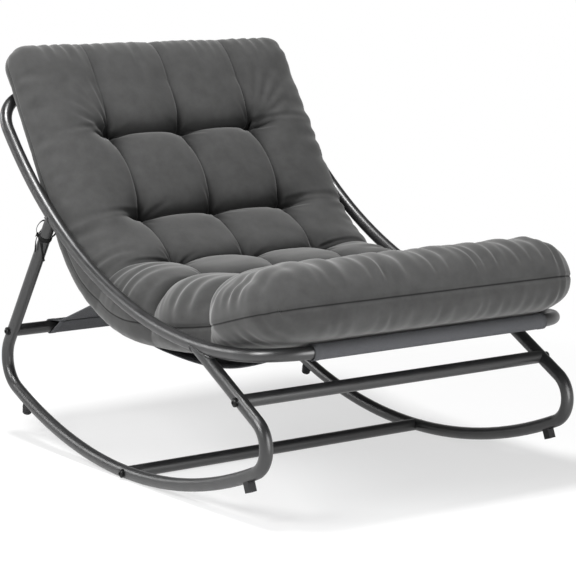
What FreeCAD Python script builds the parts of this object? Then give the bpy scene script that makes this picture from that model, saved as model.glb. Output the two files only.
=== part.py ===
"""Rocking lounge chair: a bent-tube frame that rolls on two rockers, a fabric sling and a thick cushion.

Millimetres and degrees. The chair faces -Y and +Z is up. The origin is on the floor, under the middle
of the chair.
"""
import FreeCAD, Part
import Sketcher
import math
import os
from types import SimpleNamespace

Vector = FreeCAD.Vector
Placement = FreeCAD.Placement
Rotation = FreeCAD.Rotation
X_AXIS = Vector(1, 0, 0)
Y_AXIS = Vector(0, 1, 0)
Z_AXIS = Vector(0, 0, 1)
SIDES = {"left": -1, "right": 1}

SIZES = [
    # Tube stock and the fits between pieces
    ("tube_dia", 25, "outer diameter of every frame tube"),
    ("tube_wall", 1.5, "wall of every frame tube"),
    ("weld_gap", 0.2, "room between a coped tube end and the tube it is set against"),
    ("plug_gap", 0.1, "room round a piece that plugs into a tube"),
    ("soft_gap", 0.3, "room between soft pieces and what carries them"),
    # Rockers
    ("frame_width", 722, "between the middle planes of the two rockers"),
    ("rocker_radius", 1075, "radius of the rocker arc's centre line"),
    ("rocker_low_y", -6, "where the rocker arc touches a level floor"),
    ("rear_reach", 444, "from the lowest point back to the end of the rocker arc"),
    ("front_reach", 421, "from the lowest point forward to the end of the rocker arc"),
    ("rear_bend", 66, "centre line radius of the bend behind the rocker arc"),
    ("front_bend", 52, "centre line radius of the bend in front of the rocker arc"),
    ("rear_strut_tilt", 56.2, "rear strut above level, rising forward"),
    ("front_strut_tilt", 29.2, "front strut above level, rising backward"),
    # Seat hoop
    ("rail_radius", 960, "radius of the side rail's centre line"),
    ("rail_low_y", -285, "lowest point of the side rail"),
    ("rail_low_z", 300, "height of the side rail's centre line at its lowest point"),
    ("rail_front_angle", 5.4, "arc of the side rail in front of its lowest point"),
    ("rail_back_angle", 50.3, "arc of the side rail behind its lowest point"),
    ("front_corner", 100, "centre line radius of the hoop's front corners"),
    ("top_corner", 85, "centre line radius of the hoop's top corners"),
    ("joint_length", 30, "straight end of a side rail past each corner"),
    ("swage_depth", 27, "length of the narrowed end that plugs into a side rail"),
    # Cross bars and their fasteners
    ("rear_bar_z", 227, "height of the rear cross bar"),
    ("front_bar_z", 220, "height of the front cross bar"),
    ("lower_bar_y", 5, "place of the lower cross bar along the rocker arc"),
    ("bolt_dia", 8, "shank of the bar bolts"),
    ("bolt_length", 44, "shank length of the bar bolts"),
    ("bolt_head_dia", 14, "head of the bar bolts"),
    ("bolt_head_height", 4.4, "height of the domed bolt head"),
    ("bolt_head_rim", 0.9, "straight rim under the dome of the bolt head"),
    ("bolt_key", 5, "hexagon socket across its flats"),
    ("bolt_key_depth", 2.6, "depth of the hexagon socket"),
    ("bolt_room", 0.3, "room round a bolt or screw in its hole"),
    ("thread_room", 0.05, "room round a shank in its threaded hole"),
    ("washer_dia", 17, "saddle washer"),
    ("washer_thick", 2.5, "saddle washer over the crest of the tube"),
    ("washer_seat", 0.1, "room between the saddle washer and the tube"),
    ("plug_length", 16, "threaded plug in the end of a cross bar"),
    # Rubber stops
    ("stop_reach", 395, "from the rocker's lowest point to each stop"),
    ("stop_height", 17, "stop below the tube"),
    ("stop_wrap", 5, "how far the stop's seat comes up round the tube"),
    ("stop_width", 16, "front stop across the tube"),
    ("stop_length", 18, "front stop along the tube"),
    ("stop_round", 2, "rounded edges of the front stop"),
    ("stud_base_dia", 22, "rear stop next to the tube"),
    ("stud_tip_dia", 17, "rear stop at its tip"),
    ("stud_rings", 3, "rings of the rear stop, one above the other"),
    ("stud_ring_step", 0.8, "how far each ring stands in from the next"),
    ("screw_dia", 4, "shank of the stop screws"),
    ("screw_length", 13, "shank length of the stop screws"),
    ("screw_head_dia", 7.5, "head of the stop screws"),
    ("screw_head_height", 2.8, "head height of the stop screws"),
    ("screw_recess", 8, "depth of the screw's recess in a stop"),
    # Sling
    ("sleeve_lap", 14, "sleeves past the start of the hoop's wider corner bends"),
    ("sling_thick", 1.5, "woven fabric"),
    ("seat_run", 93, "straight of the cushion's underside from the front tube to the bow under the seat"),
    ("back_run", 348, "straight of the cushion's underside from the bow of the crease to the top tube"),
    ("seat_radius", 1500, "bow of the sling under the seat"),
    ("crease_radius", 355, "bow of the sling between seat and back"),
    ("sleeve_slack", 1, "room round a tube in its sleeve"),
    ("sleeve_seam", 48, "from a tube's middle to the seam that closes its sleeve"),
    ("anchor_angle", 36, "where the anchor panel meets the crease, round its bow"),
    # Cushion
    ("cushion_room", 1, "room between the cushion and each side rail"),
    ("seat_thick", 130, "cushion over the seat"),
    ("back_thick", 92, "cushion up the back"),
    ("cushion_crease", 230, "bow of the cushion's upper side between seat and back"),
    ("front_overhang", 58, "cushion past the middle of the front tube"),
    ("top_overhang", 66, "cushion past the middle of the top tube"),
    ("end_round", 46, "rounding of the cushion's two ends"),
    ("side_round", 33, "rounding of the cushion's long edges"),
    # Cushion ties
    ("tie_depth", 13, "tie on the rear strut, up inside the cushion's underside in the side view"),
    ("tie_width", 9, "woven tie tape"),
    ("tie_thick", 1.6, "woven tie tape, doubled"),
    ("knot_size", 13, "knot across"),
    ("knot_depth", 7.8, "knot from front to back"),
    ("tail_length", 46, "longer free end below the knot"),
    ("tail_short", 30, "shorter free end below the knot"),
    ("tail_lean", 8, "longer free end away from the strut's line"),
    ("tail_short_lean", -14, "shorter free end away from the strut's line"),
]

doc = FreeCAD.newDocument("RockingChair")
sheet = doc.addObject("Spreadsheet::Sheet", "Dims")
for row, (alias, value, note) in enumerate(SIZES, start=1):
    sheet.set(f"A{row}", note)
    sheet.set(f"B{row}", str(value))
    sheet.setAlias(f"B{row}", alias)
doc.recompute()
size = SimpleNamespace(**{alias: float(sheet.get(alias)) for alias, value, note in SIZES})

half_width = size.frame_width / 2
tube_radius = size.tube_dia / 2


def flat(y, z):
    """A point of a side view, on the middle plane of a sketch."""
    return Vector(y, z, 0)


def along(tilt):
    """Unit direction of a side view at an angle above +Y."""
    return flat(math.cos(math.radians(tilt)), math.sin(math.radians(tilt)))


# Helpers for bodies, sketches and features


def new_body(label):
    body = doc.addObject("PartDesign::Body", label)
    body.Label = label
    return body


def new_sketch(body, name, plane, place=None):
    """Sketch on an origin plane of its body, moved by place in that plane's own frame."""
    sketch = body.newObject("Sketcher::SketchObject", f"{body.Name}_{name}")
    support = next(item for item in body.Origin.OriginFeatures if item.Role == plane)
    sketch.AttachmentSupport = [(support, "")]
    sketch.MapMode = "FlatFace"
    if place:
        sketch.AttachmentOffset = place
    return sketch


def dimension(sketch, kind, where, value, expression):
    """Constraint whose value is bound to the sheet."""
    index = sketch.addConstraint(Sketcher.Constraint(kind, *where, value))
    sketch.setExpression(f"Constraints[{index}]", expression)


def add_circle(sketch, diameter, expression, centre=None):
    """Circle with a bound diameter, about the sketch's origin or a point that is worked out."""
    at = centre or Vector(0, 0, 0)
    circle = sketch.addGeometry(Part.Circle(at, Z_AXIS, diameter / 2))
    if centre is None:
        sketch.addConstraint(Sketcher.Constraint("Coincident", circle, 3, -1, 1))
    else:
        sketch.addConstraint(Sketcher.Constraint("DistanceX", -1, 1, circle, 3, at.x))
        sketch.addConstraint(Sketcher.Constraint("DistanceY", -1, 1, circle, 3, at.y))
    dimension(sketch, "Diameter", (circle,), diameter, expression)
    return circle


# Diameters of a tube section, outside and inside
SECTION = [
    (size.tube_dia, "Dims.tube_dia"),
    (size.tube_dia - 2 * size.tube_wall, "Dims.tube_dia - 2 * Dims.tube_wall"),
]


def add_section(sketch):
    """Tube section about the sketch's origin."""
    for diameter, expression in SECTION:
        add_circle(sketch, diameter, expression)


def add_loop(sketch, edges):
    """Closed outline from lines and arcs that are worked out from the sheet."""
    for edge in edges:
        sketch.addGeometry(edge)


def pad(body, sketch, length, expression, middle=False):
    feature = body.newObject("PartDesign::Pad", f"{sketch.Name}_pad")
    feature.Profile = sketch
    feature.Length = length
    feature.setExpression("Length", expression)
    feature.Midplane = middle
    return feature


def cut_through(body, sketch):
    """Pocket through everything on both sides of its sketch."""
    feature = body.newObject("PartDesign::Pocket", f"{sketch.Name}_pocket")
    feature.Profile = sketch
    feature.Type = "ThroughAll"
    feature.Midplane = True
    return feature


def cut_depth(body, sketch, depth, expression, reverse=False):
    feature = body.newObject("PartDesign::Pocket", f"{sketch.Name}_pocket")
    feature.Profile = sketch
    feature.Length = depth
    feature.setExpression("Length", expression)
    feature.Reversed = reverse
    return feature


def revolve(body, sketch, axis, angle, expression=None, reverse=False, kind="Revolution"):
    feature = body.newObject(f"PartDesign::{kind}", f"{sketch.Name}_{kind.lower()}")
    feature.Profile = sketch
    feature.ReferenceAxis = (sketch, [axis])
    feature.Angle = angle
    feature.Reversed = reverse
    if expression:
        feature.setExpression("Angle", expression)
    return feature


# Outlines of side views


def rounded(points, closed=True):
    """Lines through the points, each corner rounded to its own radius: (point, radius) pairs."""
    count = len(points)
    ends = []
    for index, (corner, radius) in enumerate(points):
        before = points[index - 1][0]
        after = points[(index + 1) % count][0]
        inward = (before - corner).normalize()
        outward = (after - corner).normalize()
        turn = math.pi - inward.getAngle(outward)
        if radius == 0 or (not closed and index in (0, count - 1)):
            ends.append((corner, None, corner))
            continue
        reach = radius * math.tan(turn / 2)
        middle = (inward + outward).normalize()
        crest = corner + middle * (radius / math.cos(turn / 2) - radius)
        ends.append((corner + inward * reach, crest, corner + outward * reach))
    edges = []
    for index, (start, crest, finish) in enumerate(ends):
        if crest:
            edges.append(Part.Arc(start, crest, finish))
        follower = ends[(index + 1) % count][0]
        last = not closed and index == count - 1
        if not last and (follower - finish).Length > 0.001:
            edges.append(Part.LineSegment(finish, follower))
    return edges


def meeting(point, direction, other, other_direction):
    """Where two lines of a side view cross."""
    gap = other - point
    cross = direction.x * other_direction.y - direction.y * other_direction.x
    travel = (gap.x * other_direction.y - gap.y * other_direction.x) / cross
    return point + direction * travel


def crossing(first, first_reach, second, second_reach):
    """Point at a distance from each of two points, on the left of the way from the first to the second."""
    gap = second - first
    ahead = (first_reach**2 - second_reach**2 + gap.dot(gap)) / (2 * gap.Length)
    aside = math.sqrt(first_reach**2 - ahead**2)
    way = gap.normalize()
    return first + way * ahead + Vector(-way.y, way.x, 0) * aside


def teardrop(centre, towards, radius, apex):
    """Round a tube and straight to a point: the outline of a sleeve that is sewn shut beside its tube."""
    across = Vector(-towards.y, towards.x, 0)
    lean = math.asin(radius / apex)
    touch = towards * (radius * math.sin(lean))
    side = across * (radius * math.cos(lean))
    tip = centre + towards * apex
    far = centre - towards * radius
    return [
        Part.LineSegment(tip, centre + touch + side),
        Part.Arc(centre + touch + side, far, centre + touch - side),
        Part.LineSegment(centre + touch - side, tip),
    ]


# Places that several pieces share, in the side view (y, z)

rocker_centre = flat(size.rocker_low_y, tube_radius + size.rocker_radius)
rail_centre = flat(size.rail_low_y, size.rail_low_z + size.rail_radius)


def on_rocker(y):
    """Point of the rocker arc's centre line, and its slope."""
    slope = math.degrees(math.asin((y - rocker_centre.x) / size.rocker_radius))
    return rocker_centre - along(90 + slope) * size.rocker_radius, slope


def on_rail(angle):
    """Point of the side rail's arc, counted from its lowest point."""
    return rail_centre - along(90 + angle) * size.rail_radius


def bend_centre(reach, bend):
    """Middle of the bend that continues the rocker arc at one of its ends."""
    end, slope = on_rocker(size.rocker_low_y + reach)
    return end + along(90 + slope) * bend


rear_bend_centre = bend_centre(size.rear_reach, size.rear_bend)
front_bend_centre = bend_centre(-size.front_reach, size.front_bend)
rear_strut_line = along(180 - size.rear_strut_tilt)
front_strut_line = along(size.front_strut_tilt)
rear_strut_foot = rear_bend_centre + along(90 - size.rear_strut_tilt) * size.rear_bend
front_strut_foot = front_bend_centre + along(90 + size.front_strut_tilt) * size.front_bend


def strut_top(foot, line):
    """Where a strut's centre line reaches the side rail's centre line."""
    gap = foot - rail_centre
    ahead = gap.dot(line)
    return foot + line * (-ahead - math.sqrt(ahead**2 - gap.dot(gap) + size.rail_radius**2))


rear_strut_top = strut_top(rear_strut_foot, rear_strut_line)
front_strut_top = strut_top(front_strut_foot, front_strut_line)


def at_height(foot, line, height):
    return foot + line * ((height - foot.y) / line.y)


# Each cross bar: its place in the side view and the slope of the rocker tube there
rear_bar_at = at_height(rear_strut_foot, rear_strut_line, size.rear_bar_z)
front_bar_at = at_height(front_strut_foot, front_strut_line, size.front_bar_z)
BARS = {
    "rear_cross_bar": (rear_bar_at, -size.rear_strut_tilt),
    "front_cross_bar": (front_bar_at, size.front_strut_tilt),
    "lower_cross_bar": on_rocker(size.lower_bar_y),
}
STOPS = {
    "front": on_rocker(size.rocker_low_y - size.stop_reach),
    "rear": on_rocker(size.rocker_low_y + size.stop_reach),
}
front_tube_at = on_rail(-size.rail_front_angle) + along(180 - size.rail_front_angle) * size.front_corner
top_tube_at = on_rail(size.rail_back_angle) + along(size.rail_back_angle) * size.top_corner


def in_side_view(x, at, slope):
    """Placement at a point of the side view, with the local Y axis along a slope."""
    return Placement(Vector(x, at.x, at.y), Rotation(X_AXIS, slope))


# Rockers


def rocker_path(body):
    """Centre line of one rocker tube: strut, bend, rocker arc, bend, strut, ending on the side rail."""
    sketch = new_sketch(body, "path", "YZ_Plane")
    rear_end, rear_slope = on_rocker(size.rocker_low_y + size.rear_reach)
    front_end, front_slope = on_rocker(size.rocker_low_y - size.front_reach)
    rear_crest = rear_bend_centre + along((rear_slope - size.rear_strut_tilt) / 2) * size.rear_bend
    front_lean = (front_slope + size.front_strut_tilt) / 2
    front_crest = front_bend_centre + along(180 + front_lean) * size.front_bend
    low = flat(rocker_centre.x, tube_radius)
    strut_r, bend_r, base, bend_f, strut_f = sketch.addGeometry(
        [
            Part.LineSegment(rear_strut_top, rear_strut_foot),
            Part.Arc(rear_strut_foot, rear_crest, rear_end),
            Part.Arc(rear_end, low, front_end),
            Part.Arc(front_end, front_crest, front_strut_foot),
            Part.LineSegment(front_strut_foot, front_strut_top),
        ],
        False,
    )
    rail = sketch.addGeometry(Part.Circle(rail_centre, Z_AXIS, size.rail_radius), True)
    # An arc is stored anticlockwise: the bends and the base then start at these ends
    start, end, middle = 1, 2, 3
    for first, first_end, second, second_end in (
        (strut_r, end, bend_r, end),
        (bend_r, start, base, end),
        (base, start, bend_f, end),
        (bend_f, start, strut_f, start),
    ):
        sketch.addConstraint(Sketcher.Constraint("Tangent", first, first_end, second, second_end))
    dimension(sketch, "Radius", (base,), size.rocker_radius, "Dims.rocker_radius")
    dimension(sketch, "Radius", (bend_r,), size.rear_bend, "Dims.rear_bend")
    dimension(sketch, "Radius", (bend_f,), size.front_bend, "Dims.front_bend")
    dimension(sketch, "Radius", (rail,), size.rail_radius, "Dims.rail_radius")
    dimension(sketch, "DistanceX", (-1, 1, base, middle), rocker_centre.x, "Dims.rocker_low_y")
    dimension(
        sketch, "DistanceY", (-1, 1, base, middle), rocker_centre.y, "Dims.tube_dia / 2 + Dims.rocker_radius"
    )
    dimension(sketch, "DistanceX", (-1, 1, rail, middle), rail_centre.x, "Dims.rail_low_y")
    dimension(
        sketch, "DistanceY", (-1, 1, rail, middle), rail_centre.y, "Dims.rail_low_z + Dims.rail_radius"
    )
    dimension(sketch, "DistanceX", (base, middle, bend_r, start), size.rear_reach, "Dims.rear_reach")
    dimension(sketch, "DistanceX", (bend_f, end, base, middle), size.front_reach, "Dims.front_reach")
    rear_rise = math.radians(180 - size.rear_strut_tilt)
    rear_angle = (-1, 1, strut_r, end)
    sketch.addConstraint(Sketcher.Constraint("PointOnObject", strut_r, start, rail))
    sketch.addConstraint(Sketcher.Constraint("PointOnObject", strut_f, end, rail))
    dimension(sketch, "Angle", rear_angle, rear_rise, "(180 - Dims.rear_strut_tilt) * 1 deg")
    dimension(
        sketch,
        "Angle",
        (-1, 1, strut_f, start),
        math.radians(size.front_strut_tilt),
        "Dims.front_strut_tilt * 1 deg",
    )
    return sketch


def build_rocker(side):
    body = new_body(f"{side}_rocker")
    path = rocker_path(body)
    section_place = in_side_view(0, rear_strut_top, 90 - size.rear_strut_tilt)
    section = new_sketch(body, "section", "XY_Plane", section_place)
    add_section(section)
    doc.recompute()
    pipe = body.newObject("PartDesign::AdditivePipe", f"{body.Name}_tube")
    pipe.Profile = section
    pipe.Spine = (path, [f"Edge{number}" for number in range(1, 6)])
    # Both strut ends are coped to sit against the side rail
    under_rail = Placement(Vector(0, size.rail_low_y, size.rail_low_z), Rotation(X_AXIS, 90))
    cope = new_sketch(body, "cope", "XY_Plane", under_rail)
    add_circle(cope, size.tube_dia + 2 * size.weld_gap, "Dims.tube_dia + 2 * Dims.weld_gap")
    axis_ends = [Vector(side_x * tube_radius, size.rail_radius, 0) for side_x in SIDES.values()]
    axis = cope.addGeometry(Part.LineSegment(*axis_ends), True)
    cope.addConstraint(Sketcher.Constraint("Horizontal", axis))
    dimension(cope, "DistanceY", (-1, 1, axis, 1), size.rail_radius, "Dims.rail_radius")
    revolve(body, cope, "Axis0", 360, kind="Groove")
    # Bolt holes for the cross bars, and a pilot hole up into the tube for each stop
    holes = new_sketch(body, "bolt_holes", "YZ_Plane")
    for at, slope in BARS.values():
        add_circle(holes, size.bolt_dia + 2 * size.bolt_room, "Dims.bolt_dia + 2 * Dims.bolt_room", at)
    cut_through(body, holes)
    for name, (at, slope) in STOPS.items():
        pilot = new_sketch(body, f"{name}_pilot", "XY_Plane", in_side_view(0, at, slope))
        add_circle(pilot, size.screw_dia + 2 * size.thread_room, "Dims.screw_dia + 2 * Dims.thread_room")
        cut_depth(body, pilot, size.tube_dia, "Dims.tube_dia")
    body.Placement = Placement(Vector(SIDES[side] * half_width, 0, 0), Rotation())
    return body


# Seat hoop


def build_side_rail(side):
    """Long arc, then at each end a corner bend and a straight end that takes the front or top tube."""
    sign = SIDES[side]
    body = new_body(f"{side}_side_rail")
    front_turn = 90 - size.rail_front_angle
    top_turn = 90 + size.rail_back_angle
    # The long arc turns about the rail's middle, from its front end to its top end
    arc_place = Placement(
        Vector(sign * half_width, rail_centre.x, rail_centre.y), Rotation(X_AXIS, front_turn)
    )
    arc = new_sketch(body, "arc", "XY_Plane", arc_place)
    for diameter, expression in SECTION:
        circle = arc.addGeometry(Part.Circle(flat(0, -size.rail_radius), Z_AXIS, diameter / 2))
        arc.addConstraint(Sketcher.Constraint("PointOnObject", circle, 3, -2))
        dimension(arc, "DistanceY", (circle, 3, -1, 1), size.rail_radius, "Dims.rail_radius")
        dimension(arc, "Diameter", (circle,), diameter, expression)
    sweep = size.rail_front_angle + size.rail_back_angle
    revolve(body, arc, "H_Axis", sweep, "Dims.rail_front_angle + Dims.rail_back_angle")
    ends = (
        ("front", on_rail(-size.rail_front_angle), front_turn, size.front_corner, front_tube_at, sign > 0),
        ("top", on_rail(size.rail_back_angle), top_turn, size.top_corner, top_tube_at, sign < 0),
    )
    for name, at, turn, radius, tube_at, reverse in ends:
        inner = half_width - radius
        corner_place = Placement(Vector(sign * inner, at.x, at.y), Rotation(X_AXIS, turn))
        corner = new_sketch(body, f"{name}_corner", "XY_Plane", corner_place)
        for diameter, expression in SECTION:
            circle = corner.addGeometry(Part.Circle(Vector(sign * radius, 0, 0), Z_AXIS, diameter / 2))
            corner.addConstraint(Sketcher.Constraint("PointOnObject", circle, 3, -1))
            dimension(
                corner, "DistanceX", (-1, 1, circle, 3), sign * radius, f"{sign} * Dims.{name}_corner"
            )
            dimension(corner, "Diameter", (circle,), diameter, expression)
        revolve(body, corner, "V_Axis", 90, reverse=reverse)
        end_place = Placement(Vector(sign * inner, tube_at.x, tube_at.y), Rotation(Y_AXIS, -90 * sign))
        end = new_sketch(body, f"{name}_end", "XY_Plane", end_place)
        add_section(end)
        pad(body, end, size.joint_length, "Dims.joint_length")
    return body


def build_hoop_tube(label, at, corner):
    """Straight tube across the hoop, narrowed at both ends to plug into the side rails."""
    body = new_body(label)
    reach = half_width - corner - size.joint_length - size.weld_gap
    tip = reach + size.swage_depth
    plug_radius = tube_radius - size.tube_wall - size.plug_gap
    outside = [(tip, plug_radius), (reach, plug_radius), (reach, tube_radius)]
    inside = [(radius_x - size.tube_wall, radius - size.tube_wall) for radius_x, radius in outside]
    inside[0] = (tip, plug_radius - size.tube_wall)
    half = outside[::-1] + inside
    points = [Vector(x, radius, 0) for x, radius in half]
    mirrored = [Vector(-point.x, point.y, 0) for point in points[::-1]]
    corners = [(point, 0) for point in points + mirrored]
    sketch = new_sketch(body, "profile", "XY_Plane")
    add_loop(sketch, rounded(corners))
    revolve(body, sketch, "H_Axis", 360)
    body.Placement = in_side_view(0, at, 0)
    return body


# Cross bars and their fasteners, modelled about a bar that lies along X with the rocker tubes along Y


def build_cross_bar(label, at, slope):
    """Tube between the rockers, with both ends coped to their round sides."""
    body = new_body(label)
    section = new_sketch(body, "section", "XY_Plane", Placement(Vector(), Rotation(Y_AXIS, 90)))
    add_section(section)
    pad(body, section, size.frame_width, "Dims.frame_width", middle=True)
    cope = new_sketch(body, "cope", "XZ_Plane")
    cope_dia = size.tube_dia + 2 * size.weld_gap
    for sign in SIDES.values():
        circle = cope.addGeometry(Part.Circle(Vector(sign * half_width, 0, 0), Z_AXIS, cope_dia / 2))
        cope.addConstraint(Sketcher.Constraint("PointOnObject", circle, 3, -1))
        dimension(cope, "DistanceX", (-1, 1, circle, 3), sign * half_width, f"{sign} * Dims.frame_width / 2")
        dimension(cope, "Diameter", (circle,), cope_dia, "Dims.tube_dia + 2 * Dims.weld_gap")
    cut_through(body, cope)
    body.Placement = in_side_view(0, at, slope)
    return body


def build_bolt():
    """Button-head bolt along -X, with the underside of its head at the origin."""
    body = new_body("bolt_model")
    head_radius = size.bolt_head_dia / 2
    shank_radius = size.bolt_dia / 2
    rise = size.bolt_head_height - size.bolt_head_rim
    crown = math.hypot(head_radius, rise) / 2
    slant = math.atan2(rise, head_radius)
    dome = crown / math.sin(slant)
    peak = Vector(size.bolt_head_height, 0, 0)
    shoulder = Vector(size.bolt_head_rim, head_radius, 0)
    bow = Vector(size.bolt_head_height - dome + dome * math.cos(slant), dome * math.sin(slant), 0)
    sketch = new_sketch(body, "profile", "XY_Plane")
    tip = Vector(-size.bolt_length, 0, 0)
    tip_edge = Vector(-size.bolt_length, shank_radius, 0)
    add_loop(
        sketch,
        [
            Part.LineSegment(peak, tip),
            Part.LineSegment(tip, tip_edge),
            Part.LineSegment(tip_edge, Vector(0, shank_radius, 0)),
            Part.LineSegment(Vector(0, shank_radius, 0), Vector(0, head_radius, 0)),
            Part.LineSegment(Vector(0, head_radius, 0), shoulder),
            Part.Arc(shoulder, bow, peak),
        ],
    )
    revolve(body, sketch, "H_Axis", 360)
    key_place = Placement(Vector(size.bolt_head_height, 0, 0), Rotation(Y_AXIS, 90))
    key = new_sketch(body, "key", "XY_Plane", key_place)
    reach = size.bolt_key / math.sqrt(3)
    corners = [(Vector(reach * along(60 * step).x, reach * along(60 * step).y, 0), 0) for step in range(6)]
    add_loop(key, rounded(corners))
    cut_depth(body, key, size.bolt_key_depth, "Dims.bolt_key_depth")
    return body


def build_washer():
    """Saddle washer along X: flat under the bolt head at the origin, hollowed to the tube behind."""
    body = new_body("washer_model")
    disc = new_sketch(body, "disc", "XY_Plane", Placement(Vector(), Rotation(Y_AXIS, -90)))
    add_circle(disc, size.washer_dia, "Dims.washer_dia")
    add_circle(disc, size.bolt_dia + 2 * size.bolt_room, "Dims.bolt_dia + 2 * Dims.bolt_room")
    pad(body, disc, size.washer_dia / 2, "Dims.washer_dia / 2")
    tube_middle = Placement(Vector(-size.washer_thick - tube_radius, 0, 0), Rotation())
    seat = new_sketch(body, "seat", "XZ_Plane", tube_middle)
    add_circle(seat, size.tube_dia + 2 * size.washer_seat, "Dims.tube_dia + 2 * Dims.washer_seat")
    cut_through(body, seat)
    return body


def build_plug():
    """Threaded plug along -X, with its outer face at the origin."""
    body = new_body("plug_model")
    disc = new_sketch(body, "disc", "XY_Plane", Placement(Vector(), Rotation(Y_AXIS, -90)))
    bore = size.tube_dia - 2 * size.tube_wall - 2 * size.plug_gap
    add_circle(disc, bore, "Dims.tube_dia - 2 * Dims.tube_wall - 2 * Dims.plug_gap")
    add_circle(disc, size.bolt_dia + 2 * size.thread_room, "Dims.bolt_dia + 2 * Dims.thread_room")
    pad(body, disc, size.plug_length, "Dims.plug_length")
    return body


def group(label, model, places):
    """Identical pieces as separate solids of one node."""
    feature = doc.addObject("Part::Feature", label)
    feature.Label = label
    feature.Shape = Part.Compound([model.Shape.transformed(place.toMatrix(), True) for place in places])
    return feature


def bar_end_places(from_middle):
    """Both ends of every cross bar, with local +X pointing out of the chair."""
    places = []
    for at, slope in BARS.values():
        for sign in SIDES.values():
            turn = Rotation(Z_AXIS, 0 if sign > 0 else 180)
            end = Placement(Vector(sign * from_middle, 0, 0), turn)
            places.append(in_side_view(0, at, slope).multiply(end))
    return places


# Rubber stops, modelled below a tube that lies along Y through the origin


def finish_stop(body, at, slope, side):
    """Seat against the tube, the screw's hole and its recess, then the place under the rocker."""
    foot = -tube_radius - size.stop_height
    seat = new_sketch(body, "seat", "XZ_Plane")
    add_circle(seat, size.tube_dia + 2 * size.weld_gap, "Dims.tube_dia + 2 * Dims.weld_gap")
    cut_through(body, seat)
    hole = new_sketch(body, "hole", "XY_Plane")
    add_circle(hole, size.screw_dia + 2 * size.bolt_room, "Dims.screw_dia + 2 * Dims.bolt_room")
    cut_through(body, hole)
    recess = new_sketch(body, "recess", "XY_Plane", Placement(Vector(0, 0, foot), Rotation()))
    add_circle(recess, size.screw_head_dia + 2 * size.bolt_room, "Dims.screw_head_dia + 2 * Dims.bolt_room")
    cut_depth(body, recess, size.screw_recess, "Dims.screw_recess", reverse=True)
    body.Placement = in_side_view(SIDES[side] * half_width, at, slope)


def build_front_stop(side):
    body = new_body(f"{side}_front_stop")
    foot = -tube_radius - size.stop_height
    block = new_sketch(body, "block", "XY_Plane", Placement(Vector(0, 0, foot), Rotation()))
    half_x = size.stop_width / 2
    half_y = size.stop_length / 2
    corners = [(half_x, half_y), (-half_x, half_y), (-half_x, -half_y), (half_x, -half_y)]
    add_loop(block, rounded([(Vector(x, y, 0), size.stop_round) for x, y in corners]))
    pad(body, block, size.stop_height + size.stop_wrap, "Dims.stop_height + Dims.stop_wrap")
    finish_stop(body, *STOPS["front"], side)
    return body


def build_rear_stop(side):
    """Round stud that narrows to its tip in stepped rings."""
    body = new_body(f"{side}_rear_stop")
    foot = -tube_radius - size.stop_height
    head = -tube_radius + size.stop_wrap
    tip_radius = size.stud_tip_dia / 2
    base_radius = size.stud_base_dia / 2
    rings = round(size.stud_rings)
    step = size.stop_height / rings
    outline = [(0, foot), (tip_radius - size.stud_ring_step, foot)]
    for ring in range(rings):
        low = foot + ring * step
        share = (ring + 1) / rings
        radius = tip_radius + (base_radius - tip_radius) * share
        outline += [(radius, low + step / 3), (radius, low + step)]
        outline.append((radius - size.stud_ring_step, low + step))
    outline[-1] = (base_radius, head)
    outline.append((0, head))
    sketch = new_sketch(body, "profile", "XZ_Plane")
    add_loop(sketch, rounded([(Vector(x, z, 0), 0) for x, z in outline]))
    revolve(body, sketch, "V_Axis", 360)
    finish_stop(body, *STOPS["rear"], side)
    return body


def build_screw():
    """Pan-head screw along +Z, with the underside of its head at the origin."""
    body = new_body("screw_model")
    shank = new_sketch(body, "shank", "XY_Plane")
    add_circle(shank, size.screw_dia, "Dims.screw_dia")
    pad(body, shank, size.screw_length, "Dims.screw_length")
    head = new_sketch(body, "head", "XY_Plane")
    add_circle(head, size.screw_head_dia, "Dims.screw_head_dia")
    feature = pad(body, head, size.screw_head_height, "Dims.screw_head_height")
    feature.Reversed = True
    return body


def stop_screw_places():
    head_seat = -tube_radius - size.stop_height + size.screw_recess
    return [
        in_side_view(sign * half_width, at, slope).multiply(Placement(Vector(0, 0, head_seat), Rotation()))
        for at, slope in STOPS.values()
        for sign in SIDES.values()
    ]


# Sling and cushion: side views that follow the hoop's front and top tubes

# The cushion's underside lies this far inside the sling's bows, and passes this far above the tubes' middles
cushion_inset = size.sling_thick / 2 + size.soft_gap
cushion_lift = tube_radius + size.sleeve_slack + size.sling_thick + size.soft_gap
# The two bows meet on the lowest line, where their tangents over the tubes have the straight runs given above
seat_reach = math.hypot(size.seat_radius - cushion_inset + cushion_lift, size.seat_run)
crease_reach = math.hypot(size.crease_radius - cushion_inset + cushion_lift, size.back_run)
above_top_tube = top_tube_at + flat(0, size.seat_radius - size.crease_radius)
seat_centre = crossing(front_tube_at, seat_reach, above_top_tube, crease_reach)
sling_low = seat_centre - flat(0, size.seat_radius)
crease_centre = sling_low + flat(0, size.crease_radius)
sling_width = size.frame_width - 2 * max(size.front_corner, size.top_corner) + 2 * size.sleeve_lap
SLING_WIDTH = "Dims.frame_width - 2 * max(Dims.front_corner; Dims.top_corner) + 2 * Dims.sleeve_lap"


def seat_tilt(radius):
    """Slope of a line that passes the front tube and runs into a bow of this radius under the seat."""
    gap = seat_centre - front_tube_at
    return math.degrees(math.atan2(gap.x, gap.y) - math.acos(radius / gap.Length))


def back_tilt(radius):
    """Slope of a line that leaves the crease's bow and passes the top tube."""
    gap = top_tube_at - crease_centre
    return math.degrees(math.atan2(gap.y, gap.x) + math.asin(radius / gap.Length))


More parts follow.
